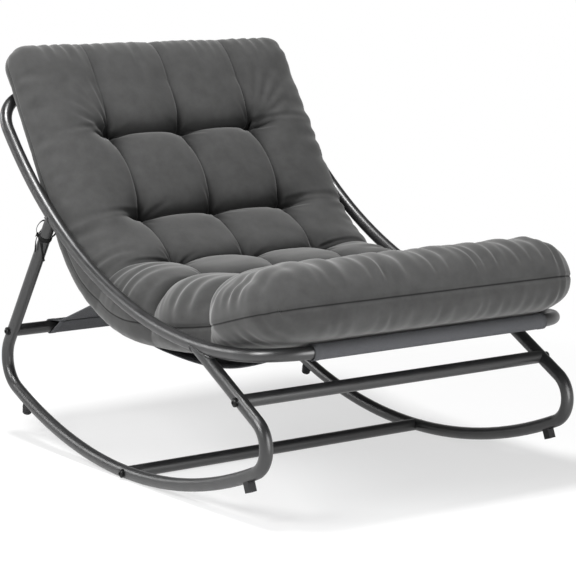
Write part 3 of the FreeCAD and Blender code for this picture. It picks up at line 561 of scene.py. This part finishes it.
def cushion_sheets():
    """Grids of the cushion's top and bottom sheets before filling, in metres, and the marks on them."""
    s_lines = grid_lines(TUFT_ROWS, 0, LENGTH)
    x_lines = grid_lines(TUFT_COLUMNS, -HALF_WIDTH, HALF_WIDTH)
    s, x = np.meshgrid(s_lines, x_lines, indexing="ij")
    off_row = from_crease(s, TUFT_ROWS)
    off_column = from_crease(x, TUFT_COLUMNS)
    # On the back the creases across the cushion fade before its sides
    fade_run = HALF_WIDTH - TUFT_COLUMNS[-1] - FADE_START - FADE_STOP
    outside = np.clip((np.abs(x) - TUFT_COLUMNS[-1] - FADE_START) / fade_run, 0, 1)
    off_row += (1 - off_row) * np.interp(s, TUFT_ROWS, SIDE_FADE) * outside**2 * (3 - 2 * outside)
    # Along a crease the height arches from tuft to tuft, and beside it the pillow rises steeply
    along = np.interp(s, ROW_MIDDLES, CREASE_ALONG) * (1 - (1 - off_row) ** 2)
    across = np.interp(s, TUFT_ROWS, CREASE_ACROSS) * (1 - (1 - off_column) ** PILLOW_POWER)
    crease = along + across - along * across
    steep = np.sqrt(1 - (1 - off_row) ** PILLOW_POWER) * np.sqrt(1 - (1 - off_column) ** PILLOW_POWER)
    share = crease + (1 - crease) * steep
    crest = np.interp(s, ROW_MIDDLES, CREST_HEIGHTS)
    tuft = np.interp(s, TUFT_ROWS, TUFT_HEIGHTS)
    seam = np.interp(s, ROW_MIDDLES, SEAM_HEIGHTS)
    inside = np.minimum(s, LENGTH - s), HALF_WIDTH - np.abs(x)
    full = roll_off(np.minimum(*inside))
    heights = seam + (tuft + (crest - tuft) * share - seam) * full, seam * (1 - full**UNDER_POWER)
    plan_s, plan_x = rounded_corners(s, x)
    base, normal = UNDERSIDE.at(plan_s)
    # The sides draw in where a crease reaches them, and the front roll bulges past them
    beyond = np.clip((np.abs(plan_x) - TUFT_COLUMNS[-1]) / (HALF_WIDTH - TUFT_COLUMNS[-1]), 0, 1)
    flare = np.where(x < 0, FRONT_FLARE[-1], FRONT_FLARE[1])
    flare = flare * np.clip((s - TUFT_ROWS[-1]) / FLARE_RUN, 0, 1)
    notch = np.interp(s, TUFT_ROWS, SIDE_NOTCH) * (1 - off_row) ** 2
    sheets = []
    for height in heights:
        side = base + normal * height[..., None]
        bulge = (flare - notch) * beyond * np.clip(height / seam, 0, 1)
        sheets.append(np.concatenate([(plan_x + np.sign(x) * bulge)[..., None], side], axis=-1) * MM)
    on_row = np.isin(s, TUFT_ROWS)
    on_column = np.isin(x, TUFT_COLUMNS)
    marks = {"tuft": on_row & on_column, "crease": on_row | on_column, "full": full}
    # The last mark is for painted shade: it is largest in the creases and at the tufts, where the top sits
    # lowest
    marks.update({"s": plan_s, "x": plan_x, "crease_shade": (1 - share) * full})
    return sheets, marks


def rounded_corners(s, x):
    """Plan of the cushion with its four corners rounded."""
    s, x = s.copy(), x.copy()
    for end, radius in CORNER_ROUND.items():
        sign = 1 if end == 0 else -1
        along = (radius - np.abs(s - end)) / radius
        across = (np.abs(x) - HALF_WIDTH + radius) / radius
        inside = (along > 0) & (across > 0)
        shrink = np.maximum(along, across) / np.maximum(np.hypot(along, across), 1e-9)
        s = np.where(inside, end + sign * radius * (1 - along * shrink), s)
        edge = HALF_WIDTH - radius + radius * across * shrink
        x = np.where(inside, np.sign(x) * edge, x)
    return s, x


def join_sheets(name, sheets):
    """Two grids that share their rim, as one closed object."""
    shape = sheets[0].shape[:2]
    top = np.arange(shape[0] * shape[1]).reshape(shape)
    rim = np.zeros(shape, dtype=bool)
    rim[[0, -1]] = True
    rim[:, [0, -1]] = True
    below = np.where(rim, top, 0)
    below[~rim] = top.size + np.arange((~rim).sum())
    points = np.concatenate([sheets[0].reshape(-1, 3), sheets[1][~rim]])
    faces = np.concatenate([grid_faces(top), grid_faces(below)[:, ::-1]])
    return new_object(name, points, faces), top, below, rim


def fill_cushion(thing, weights):
    """Cloth under pressure, held at its pins and cut a little larger than the shape it fills."""
    start = read_points(thing.data)
    group = thing.vertex_groups.new(name="held")
    for level in np.unique(weights[weights > 0]):
        group.add(np.flatnonzero(weights == level).tolist(), float(level), "REPLACE")
    thing.shape_key_add(name="start")
    cut = thing.shape_key_add(name="cut")
    cut.data.foreach_set("co", (start * np.array(FABRIC_EASE)).ravel())
    cut.value = 0
    cloth = thing.modifiers.new("fill", "CLOTH")
    settings = cloth.settings
    settings.rest_shape_key = cut
    settings.quality = 5
    settings.mass = 0.3
    settings.tension_stiffness = 15
    settings.compression_stiffness = 15
    settings.shear_stiffness = 5
    settings.bending_stiffness = 0.1
    settings.use_pressure = True
    settings.uniform_pressure_force = FILL_PRESSURE
    settings.vertex_group_mass = "held"
    settings.effector_weights.gravity = 0
    cloth.collision_settings.use_collision = False
    scene = bpy.context.scene
    for number in range(1, FILL_FRAMES + 1):
        scene.frame_set(number)
    evaluated = thing.evaluated_get(bpy.context.evaluated_depsgraph_get())
    moved = read_points(evaluated.data) - start
    length = np.linalg.norm(moved, axis=1, keepdims=True)
    filled = start + moved * np.minimum(1, FILL_LIMIT * MM / np.maximum(length, 1e-9))
    thing.modifiers.remove(cloth)
    thing.shape_key_clear()
    thing.vertex_groups.remove(group)
    scene.frame_set(1)
    thing.data.vertices.foreach_set("co", filled.ravel())
    thing.data.update()


# Pleats and puckers of the cushion's cloth: lines that start at a tuft or a seam and fade out

PLEAT_SEED = 11
PLEAT_START = 10
RIDGE_OFFSET = 1.9
TUFT_LEAN = (9, 26)
TUFT_LENGTH = (35, 75)
TUFT_WIDTH = 4.5
TUFT_DEPTH = (1.2, 3)
FAN_LEANS = (10, 21, 33, 46, 62)
FAN_SWAY = (-3, 3)
FAN_LENGTH = (110, 180)
FAN_WIDTH = 7
FAN_DEPTH = (3.4, 5.6)
BORDER_FOLD = {"length": 150, "width": 5, "depth": 2.4}
BORDER_ABOVE = 13
BORDER_ASIDE = 6
BORDER_LEAN = 3
PUCKER_SWAY = (-9, 9)
END_REACH = 320
END_STEP = 34
END_SHIFT = (-12, 12)
ROLL_LENGTH = (130, 260)
ROLL_WIDTH = (8, 14)
ROLL_DEPTH = (1.5, 5)
TOP_LENGTH = (50, 130)
TOP_WIDTH = 8
TOP_DEPTH = (1.2, 3.6)
SIDE_STEP = 48
SIDE_FIRST = 40
SIDE_LAST = 20
SIDE_SHIFT = (-16, 16)
SIDE_WIDTH = (10, 17)
SEAT_LENGTH = (80, 170)
SEAT_DEPTH = (1.5, 4.5)
BACK_LENGTH = (45, 120)
BACK_DEPTH = (0.9, 3)
SWELL = 0.8
SEAM_SINK = 2.2


class Pleats:
    """Adds up how far the cloth stands out or in, over points given by s and x."""

    def __init__(self, s, x):
        self.s = s
        self.x = x
        self.height = np.zeros(len(s))

    def add(self, start, heading, length, width, depth):
        """One pleat: start is (s, x), and heading is in degrees, 0 towards +x and 90 towards +s."""
        turn = math.radians(heading)
        ahead = (self.x - start[1]) * math.cos(turn) + (self.s - start[0]) * math.sin(turn)
        near = np.flatnonzero((ahead > 0) & (ahead < length))
        ahead = ahead[near]
        aside = (self.s[near] - start[0]) * math.cos(turn) - (self.x[near] - start[1]) * math.sin(turn)
        fade = np.clip(ahead / PLEAT_START, 0, 1) * (1 - ahead / length) ** 0.8
        spread = aside / (width * (0.7 + 0.6 * ahead / length))
        ridges = np.exp(-((spread - RIDGE_OFFSET) ** 2)) + np.exp(-((spread + RIDGE_OFFSET) ** 2))
        self.height[near] += depth * fade * (0.5 * ridges - np.exp(-(spread**2)))


def tuft_pleats(pleats, draw):
    """Short pleats beside the creases at every tuft, and long fans at the top row's outer tufts."""
    for row, s in enumerate(TUFT_ROWS):
        for x in TUFT_COLUMNS:
            for crease in (0, 90, 180, 270):
                for side in (-1, 1):
                    heading = crease + side * draw.uniform(*TUFT_LEAN)
                    length = draw.uniform(*TUFT_LENGTH)
                    pleats.add((s, x), heading, length, TUFT_WIDTH, draw.uniform(*TUFT_DEPTH))
            if row == 0 and x != 0:
                outward = math.copysign(1, x)
                for lean in FAN_LEANS:
                    heading = 270 + outward * (lean + draw.uniform(*FAN_SWAY))
                    length = draw.uniform(*FAN_LENGTH)
                    pleats.add((s, x), heading, length, FAN_WIDTH, draw.uniform(*FAN_DEPTH))
            if x != 0:
                # A fold that runs on beside the border of two rows
                outward = math.copysign(1, x)
                heading = 0 if outward > 0 else 180
                start = s - BORDER_ABOVE, x + outward * BORDER_ASIDE
                pleats.add(start, heading + outward * BORDER_LEAN, **BORDER_FOLD)


def seam_puckers(pleats, draw):
    """Puckers square to the seam all round, deepest at the ends of the lower rows and on the front roll."""
    for x in np.arange(-END_REACH, END_REACH + 1, END_STEP):
        spot = x + draw.uniform(*END_SHIFT)
        width = draw.uniform(*ROLL_WIDTH)
        heading = 270 + draw.uniform(*PUCKER_SWAY)
        length = draw.uniform(*ROLL_LENGTH)
        pleats.add((LENGTH, spot), heading, length, width, draw.uniform(*ROLL_DEPTH))
        heading = 90 + draw.uniform(*PUCKER_SWAY)
        length = draw.uniform(*TOP_LENGTH)
        pleats.add((0, spot), heading, length, TOP_WIDTH, draw.uniform(*TOP_DEPTH))
    for s in np.arange(SIDE_FIRST, LENGTH - SIDE_LAST, SIDE_STEP):
        low = s > TUFT_ROWS[2]
        for side in (-1, 1):
            spot = s + draw.uniform(*SIDE_SHIFT)
            heading = (180 if side > 0 else 0) + draw.uniform(*PUCKER_SWAY)
            length = draw.uniform(*(SEAT_LENGTH if low else BACK_LENGTH))
            depth = draw.uniform(*(SEAT_DEPTH if low else BACK_DEPTH))
            pleats.add((spot, side * HALF_WIDTH), heading, length, draw.uniform(*SIDE_WIDTH), depth)


def crumple(thing):
    """Moves the cloth in and out along its normals: pleats, puckers and a soft unevenness."""
    mesh = thing.data
    values = {}
    for name in ("along", "across", "upper", "seam"):
        values[name] = np.empty(len(mesh.vertices))
        mesh.attributes[name].data.foreach_get("value", values[name])
    s, x = values["along"], values["across"]
    draw = np.random.default_rng(PLEAT_SEED)
    pleats = Pleats(s, x)
    tuft_pleats(pleats, draw)
    seam_puckers(pleats, draw)
    swell = np.sin(s / 31 + 1.3 * np.sin(x / 47)) * np.sin(x / 37 + 1.7 * np.sin(s / 61))
    height = (pleats.height + SWELL * swell) * values["upper"] - SEAM_SINK * (values["seam"] > 0.9)
    moved = read_points(mesh) + read_points(mesh, "normal") * height[:, None] * MM
    mesh.vertices.foreach_set("co", moved.ravel())
    mesh.update()


def add_cushion():
    """Two sheets sewn round the rim, filled, then pleated."""
    sheets, marks = cushion_sheets()
    thing, top, below, rim = join_sheets("tufted_cushion", sheets)
    count = len(thing.data.vertices)
    weights = np.zeros(count)
    weights[below[marks["full"] > 0.9]] = 1
    weights[top[marks["crease"]]] = HOLD_CREASE
    weights[top[rim]] = HOLD_RIM
    weights[top[marks["tuft"]]] = 1
    fill_cushion(thing, weights)
    attributes = {name: np.zeros(count) for name in ("along", "across", "upper", "seam", "crease_shade")}
    front = np.clip((marks["s"] - TUFT_ROWS[-1]) / UNDER_PLEATS_RUN, 0, 1)
    lower = (UNDER_PLEATS + (1 - UNDER_PLEATS) * front) * (1 - marks["full"])
    for grid, upper in ((below, lower), (top, np.ones(top.shape))):
        attributes["along"][grid] = marks["s"]
        attributes["across"][grid] = marks["x"]
        attributes["upper"][grid] = upper
    attributes["seam"][top[rim]] = 1
    # The mark for the painted crease shade goes on the top sheet only
    attributes["crease_shade"][top] = marks["crease_shade"]
    for name, values in attributes.items():
        thing.data.attributes.new(name, "FLOAT", "POINT").data.foreach_set("value", values)
    smooth = thing.modifiers.new("smooth", "SUBSURF")
    smooth.levels = smooth.render_levels = 1
    apply_modifiers(thing)
    crumple(thing)
    shade_smooth(thing)
    thing.data.materials.append(cushion_material())
    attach(thing, "root")
    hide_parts("cushion")
    return thing


# Sling and its anchor panel: sheets that are sewn round the tubes

SLING_LOW = np.array((11.85, 250.57))
SLING_SEAT_RADIUS = 1500
SLING_CREASE_RADIUS = 355
SLING_THICK = 1.5
SLEEVE_RADIUS = 14.25
SLEEVE_SLACK = 0.7
SLEEVE_SEAM = 50.7
ANCHOR_ANGLE = 36
ANCHOR_FLAP = 22
HEM = 14
HEM_THICK = 2.6
SHEET_POINTS = 49
WAIST = 4
DROOP = 24
DROOP_FROM = 170
DROOP_FORWARD = 1.8


def sling_curve():
    """Side view of the sling's middle, from the top tube's middle to the front tube's."""
    front_gap = SLING_LOW + (0, SLING_SEAT_RADIUS) - middle_of("front_tube")
    back_gap = middle_of("top_tube") - SLING_LOW - (0, SLING_CREASE_RADIUS)
    front_reach, back_reach = np.hypot(*front_gap), np.hypot(*back_gap)
    front_tilt = math.atan2(*front_gap) - math.acos(SLING_SEAT_RADIUS / front_reach)
    back_tilt = math.atan2(back_gap[1], back_gap[0]) + math.asin(SLING_CREASE_RADIUS / back_reach)
    front = math.degrees(front_tilt), math.sqrt(front_reach**2 - SLING_SEAT_RADIUS**2)
    back = math.degrees(back_tilt), math.sqrt(back_reach**2 - SLING_CREASE_RADIUS**2)
    return SideCurve(SLING_LOW, back, SLING_CREASE_RADIUS, SLING_SEAT_RADIUS, front)


def sleeve(tube, towards, turn):
    """Loop from the seam round a tube and back.

    towards points from the tube to the seam, and turn is 1 or -1 for the way round.
    """
    centre = tube + towards * SLEEVE_SLACK
    across = np.array((-towards[1], towards[0])) * turn
    touch = math.acos(SLEEVE_RADIUS / SLEEVE_SEAM)
    angles = np.linspace(touch, 2 * math.pi - touch, 36)[:, None]
    loop = centre + SLEEVE_RADIUS * (towards * np.cos(angles) + across * np.sin(angles))
    seam = centre + towards * SLEEVE_SEAM
    straight = np.linspace(0, 1, 9)[1:-1, None]
    lay = across * SLING_THICK
    start = seam + lay + (loop[0] - seam - lay) * straight
    finish = loop[-1] + (seam - loop[-1]) * straight
    return np.concatenate([[seam + lay], start, loop, finish, [seam]])


def add_sheet(name, path, half_width, material, waist, droop):
    """Cloth along a side view, with hems at both edges: the object and its flat size in metres.

    droop is how far the edges hang below the middle, for each point of the side view.
    """
    steps = np.hypot(*np.diff(path, axis=0).T)
    run = np.append(0, np.cumsum(steps))
    edge = half_width - HEM
    inner = np.linspace(-edge, edge, SHEET_POINTS)
    shares = np.concatenate([[-half_width, -edge - 1], inner, [edge + 1, half_width]])
    narrowing = 1 - waist * np.sin(math.pi * run / run[-1]) ** 2 / half_width
    x = shares[None, :] * narrowing[:, None]
    side = np.broadcast_to(path[:, None, :], (*x.shape, 2)).copy()
    slack = np.clip((np.abs(shares) - DROOP_FROM) / (half_width - DROOP_FROM), 0, 1) ** 2
    side[..., 1] -= droop[:, None] * slack[None, :]
    points = np.concatenate([x[..., None], side], axis=-1).reshape(-1, 3) * MM
    index = np.arange(len(points)).reshape(x.shape)
    thing = new_object(name, points, grid_faces(index))
    flat_map = np.stack(np.broadcast_arrays(x, run[:, None]), axis=-1).reshape(-1, 2) * MM
    map_cloth(thing, flat_map)
    weights = thing.vertex_groups.new(name="hem")
    hemmed = np.abs(shares) > edge
    weights.add(index[:, hemmed].ravel().tolist(), 1, "REPLACE")
    weights.add(index[:, ~hemmed].ravel().tolist(), SLING_THICK / HEM_THICK, "REPLACE")
    wall = thing.modifiers.new("wall", "SOLIDIFY")
    wall.thickness = HEM_THICK * MM
    wall.offset = 0
    wall.vertex_group = "hem"
    apply_modifiers(thing)
    thing.vertex_groups.clear()
    shade_smooth(thing)
    thing.data.materials.append(material)
    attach(thing, "root")
    return thing, (2 * half_width * MM, run[-1] * MM)


def half_width_of(node):
    low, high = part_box(node)
    return (high[0] - low[0]) / 2 / MM


def add_sling(material):
    curve = sling_curve()
    distances = np.linspace(SLEEVE_SEAM + 1, curve.length - SLEEVE_SEAM - 1, 150)
    panel = curve.at(distances)[0]
    top, front = middle_of("top_tube"), middle_of("front_tube")
    down_back = (panel[0] - top) / np.hypot(*(panel[0] - top))
    up_seat = (panel[-1] - front) / np.hypot(*(panel[-1] - front))
    top_sleeve = sleeve(top, down_back, -1)
    front_sleeve = sleeve(front, up_seat, -1)[::-1]
    path = np.concatenate([top_sleeve, panel, front_sleeve])
    seat = np.clip((distances - curve.stations[1]) / (curve.length - curve.stations[1]), 0, 1)
    sag = DROOP * np.sin(math.pi * seat**DROOP_FORWARD) ** 2
    droop = np.concatenate([np.zeros(len(top_sleeve)), sag, np.zeros(len(front_sleeve))])
    thing, flat = add_sheet("woven_sling", path, half_width_of("sling"), material, WAIST, droop)
    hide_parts("sling")


def add_anchor(material):
    """Panel from the rear cross bar's sleeve to a flap sewn under the sling's crease."""
    bar = middle_of("rear_cross_bar")
    reach = SLING_CREASE_RADIUS + SLING_THICK
    centre = SLING_LOW + (0, SLING_CREASE_RADIUS)
    turns = math.radians(ANCHOR_ANGLE) - np.linspace(0, ANCHOR_FLAP / reach, 6)
    flap = centre + reach * np.stack([np.sin(turns), -np.cos(turns)], axis=-1)
    run = (flap[0] - bar) / np.hypot(*(flap[0] - bar))
    start = bar + run * (SLEEVE_SEAM + 1)
    panel = start + (flap[0] - run * 4 - start) * np.linspace(0, 1, 24)[:, None]
    path = np.concatenate([sleeve(bar, run, 1), panel, flap[1:]])
    level = np.zeros(len(path))
    thing, flat = add_sheet("anchor_panel", path, half_width_of("sling_anchor"), material, 0, level)
    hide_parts("sling_anchor")


# Cushion ties and welds at the struts

RAIL_CENTRE = np.array((-285, 1260))
RAIL_RADIUS = 960
TUBE_RADIUS = 12.5
STRUTS = {"rear_cross_bar": 180 - 56.2, "front_cross_bar": 29.2}
RAIL_X = 361
TIE_DROP = 53.85
TAPE_WIDTH = 5
TAPE_THICK = 1.1
STRAND_WIDTH = 4
WIND_POINTS = 80
WIND_RISE = 4
SEWN_AT = 407
SEWN_HEIGHT = 46
SEWN_INSIDE = 4
RING_POINTS = 12
# Handles of the loose strands, outwards from the strut's middle, behind it and up along it
STRANDS = {
    "bow": [(14, 7, 0), (18, 13, 9), (16, 18, 20), (3, 20, 33), (-7, 18, 24), (-2, 19, 8), (10, 13, 0)],
    "long end": [(14, 7, 0), (15, -8, -2), (11, -12, -10), (6, -16, -28), (-5, -16, -50)],
    "short end": [(14, 7, 0), (17, 6, -6), (17, 2, -16), (16, -5, -32)],
}
BEAD_RADIUS = 2.1
BEAD_OFFSET = 0.4
BEAD_RIPPLES = 22
BEAD_RIPPLE = 0.1


def strut_top(bar):
    """Where a strut's centre line meets the side rail's, and the strut's direction up."""
    tilt = math.radians(STRUTS[bar])
    line = np.array((math.cos(tilt), math.sin(tilt)))
    gap = middle_of(bar) - RAIL_CENTRE
    ahead = gap @ line
    return middle_of(bar) + line * (-ahead - math.sqrt(ahead**2 - gap @ gap + RAIL_RADIUS**2)), line


def smooth_line(points, count):
    """Points of a smooth line with the given points as its handles."""
    data = bpy.data.curves.new("line", "CURVE")
    data.dimensions = "3D"
    data.resolution_u = count
    spline = data.splines.new("NURBS")
    spline.points.add(len(points) - 1)
    for handle, point in zip(spline.points, points):
        handle.co = (*point, 1)
    spline.order_u = 4
    spline.use_endpoint_u = True
    thing = bpy.data.objects.new("line", data)
    mesh = bpy.data.meshes.new_from_object(thing)
    line = read_points(mesh)
    bpy.data.objects.remove(thing)
    bpy.data.curves.remove(data)
    bpy.data.meshes.remove(mesh)
    return line


def sweep(path, outward, width, thick, closed=False):
    """Points and faces of a flat tape or round bead along a path, with its flat side towards outward."""
    ahead = np.gradient(path, axis=0)
    if closed:
        ahead = np.roll(path, -1, axis=0) - np.roll(path, 1, axis=0)
    ahead /= np.linalg.norm(ahead, axis=1, keepdims=True)
    aside = np.cross(ahead, outward)
    aside /= np.linalg.norm(aside, axis=1, keepdims=True)
    up = np.cross(aside, ahead)
    angles = np.linspace(0, 2 * math.pi, RING_POINTS, endpoint=False)
    square = np.stack([np.cos(angles), np.sin(angles)], axis=-1)
    square /= np.abs(square**4).sum(axis=1, keepdims=True) ** 0.25 if width != thick else 1
    ring = square * (width / 2, thick / 2)
    points = path[:, None] + aside[:, None] * ring[None, :, :1] + up[:, None] * ring[None, :, 1:]
    index = np.arange(points.shape[0] * RING_POINTS).reshape(-1, RING_POINTS)
    index = np.concatenate([index, index[:, :1]], axis=1)
    if closed:
        index = np.concatenate([index, index[:1]])
    return points.reshape(-1, 3), grid_faces(index).tolist()


def join_sweeps(name, sweeps):
    """One object from several sweeps, with their ends closed."""
    points, faces, used = [], [], 0
    for part, quads in sweeps:
        points.append(part)
        faces += [[corner + used for corner in quad] for quad in quads]
        used += len(part)
    thing = new_object(name, np.concatenate(points) * MM, faces)
    select_only(thing)
    bpy.ops.object.mode_set(mode="EDIT")
    bpy.ops.mesh.select_all(action="SELECT")
    bpy.ops.mesh.fill_holes(sides=RING_POINTS)
    bpy.ops.mesh.select_all(action="SELECT")
    bpy.ops.mesh.normals_make_consistent(inside=False)
    bpy.ops.object.mode_set(mode="OBJECT")
    shade_smooth(thing)
    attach(thing, "root")
    return thing


def add_tie(side, material):
    """Woven tape from the cushion's seam, wound twice round the strut, with a knot, a bow and two ends."""
    sign = SIDES[side]
    top, line = strut_top("rear_cross_bar")
    at = top - line * TIE_DROP
    middle = np.array((sign * RAIL_X, *at))
    out = np.array((sign, 0, 0))
    up = np.array((0, *line))
    behind = np.array((0, line[1], -line[0]))
    round_strut = TUBE_RADIUS + TAPE_THICK

    def local(points):
        """Points from (out, behind, up) beside the strut."""
        return middle + np.asarray(points) @ np.array((out, behind, up))

    turns = np.linspace(0, 4 * math.pi, WIND_POINTS)
    radial = np.stack([-np.cos(turns), np.sin(turns), np.zeros(WIND_POINTS)], axis=-1)
    wound = radial * round_strut
    wound[:, 2] += np.linspace(-WIND_RISE, WIND_RISE, WIND_POINTS)
    knot = np.array((0.8, 0.6, 0)) * (round_strut + 2.2)
    seam, normal = UNDERSIDE.at(np.array(float(SEWN_AT)))
    sewn = np.array((sign * (HALF_WIDTH - SEWN_INSIDE), *(seam + normal * SEWN_HEIGHT)))
    tab = smooth_line([local((-round_strut, -2, 3)), local((-round_strut - 5, -6, 6)), sewn], 12)
    lumps = np.linspace(0, 2.6 * math.pi, 26)
    lump = np.stack([np.cos(lumps) * 3.4, np.sin(lumps) * 2.6, np.linspace(-3, 3, 26)], axis=-1)
    sweeps = [
        sweep(local(wound), radial @ np.array((out, behind, up)), TAPE_WIDTH, TAPE_THICK),
        sweep(tab, np.broadcast_to(behind, tab.shape), TAPE_WIDTH, TAPE_THICK),
        sweep(local(knot + lump), (lump * (1, 1, 0)) @ np.array((out, behind, up)), TAPE_WIDTH, TAPE_THICK),
    ]
    for handles in STRANDS.values():
        strand = smooth_line(local(handles), 10)
        away = strand - middle - ((strand - middle) @ up)[:, None] * up
        sweeps.append(sweep(strand, away, STRAND_WIDTH, TAPE_THICK))
    thing = join_sweeps(f"{side}_tie_tape", sweeps)
    map_cloth(thing, read_points(thing.data)[:, [0, 2]])
    thing.data.materials.append(material)
    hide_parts(f"{side}_cushion_tie")


def add_weld(name, x, bar):
    """Rippled bead round the joint of a strut and its side rail."""
    top, line = strut_top(bar)
    off_rail = (top - RAIL_CENTRE) / RAIL_RADIUS
    beside = np.array((line[1], -line[0]))
    turns = np.linspace(0, 2 * math.pi, 120, endpoint=False)
    reach = TUBE_RADIUS + BEAD_OFFSET
    aside = reach * np.cos(turns)
    drop = (reach * np.abs(np.cos(turns)) - aside * (beside @ off_rail)) / (-line @ off_rail)
    side = top + aside[:, None] * beside - drop[:, None] * line
    path = np.concatenate([x + reach * np.sin(turns)[:, None], side], axis=1)
    outward = np.stack([np.sin(turns), *(np.cos(turns)[:, None] * beside).T], axis=-1)
    size = 2 * BEAD_RADIUS
    points, faces = sweep(path, outward, size, size, closed=True)
    ripple = 1 + BEAD_RIPPLE * np.sin(turns * BEAD_RIPPLES)
    points = path[:, None] + (points.reshape(len(path), -1, 3) - path[:, None]) * ripple[:, None, None]
    thing = join_sweeps(name, [(points.reshape(-1, 3), faces)])
    thing.data.materials.append(COAT)


def add_small_pieces():
    tape = woven_material("black_tape", TAPE_COLOUR, 900, 0.0003)
    for side, sign in SIDES.items():
        add_tie(side, tape)
        for end in ("rear", "front"):
            add_weld(f"{side}_{end}_weld", sign * RAIL_X, f"{end}_cross_bar")


add_cushion()
weave = woven_material("charcoal_weave", SLING_COLOUR, 620, 0.0004)
add_sling(weave)
add_anchor(weave)
add_small_pieces()

# Stage


def add_floor():
    """Pale floor that keeps the chair's shadow near it and is plain white further out."""
    bpy.ops.object.select_all(action="DESELECT")
    bpy.ops.mesh.primitive_plane_add(size=FLOOR_SIZE)
    floor = bpy.context.object
    floor.name = "floor"
    material, shader = principled("floor", (0.9, 0.9, 0.9), 0.9, 0.1)
    tree = material.node_tree
    place = tree.nodes.new("ShaderNodeTexCoord")
    reach = tree.nodes.new("ShaderNodeVectorMath")
    reach.operation = "LENGTH"
    tree.links.new(place.outputs["Object"], reach.inputs[0])
    glow_share = add_range(tree, reach.outputs["Value"], *FLOOR_SHADOW, *FLOOR_GLOW)
    share = add_math(tree, "MULTIPLY", glow_share, seen_rays(tree))
    glow = add_node(tree, "Emission", Color=(1, 1, 1, 1), Strength=1)
    mix = tree.nodes.new("ShaderNodeMixShader")
    tree.links.new(share, mix.inputs[0])
    tree.links.new(shader.outputs[0], mix.inputs[1])
    tree.links.new(glow.outputs[0], mix.inputs[2])
    tree.links.new(mix.outputs[0], tree.nodes["Material Output"].inputs["Surface"])
    floor.data.materials.append(material)


add_camera()
add_world()
add_floor()
for lamp_name, lamp_values in LAMPS.items():
    add_softbox(lamp_name, *lamp_values)
bpy.context.scene.view_settings.view_transform = "Standard"
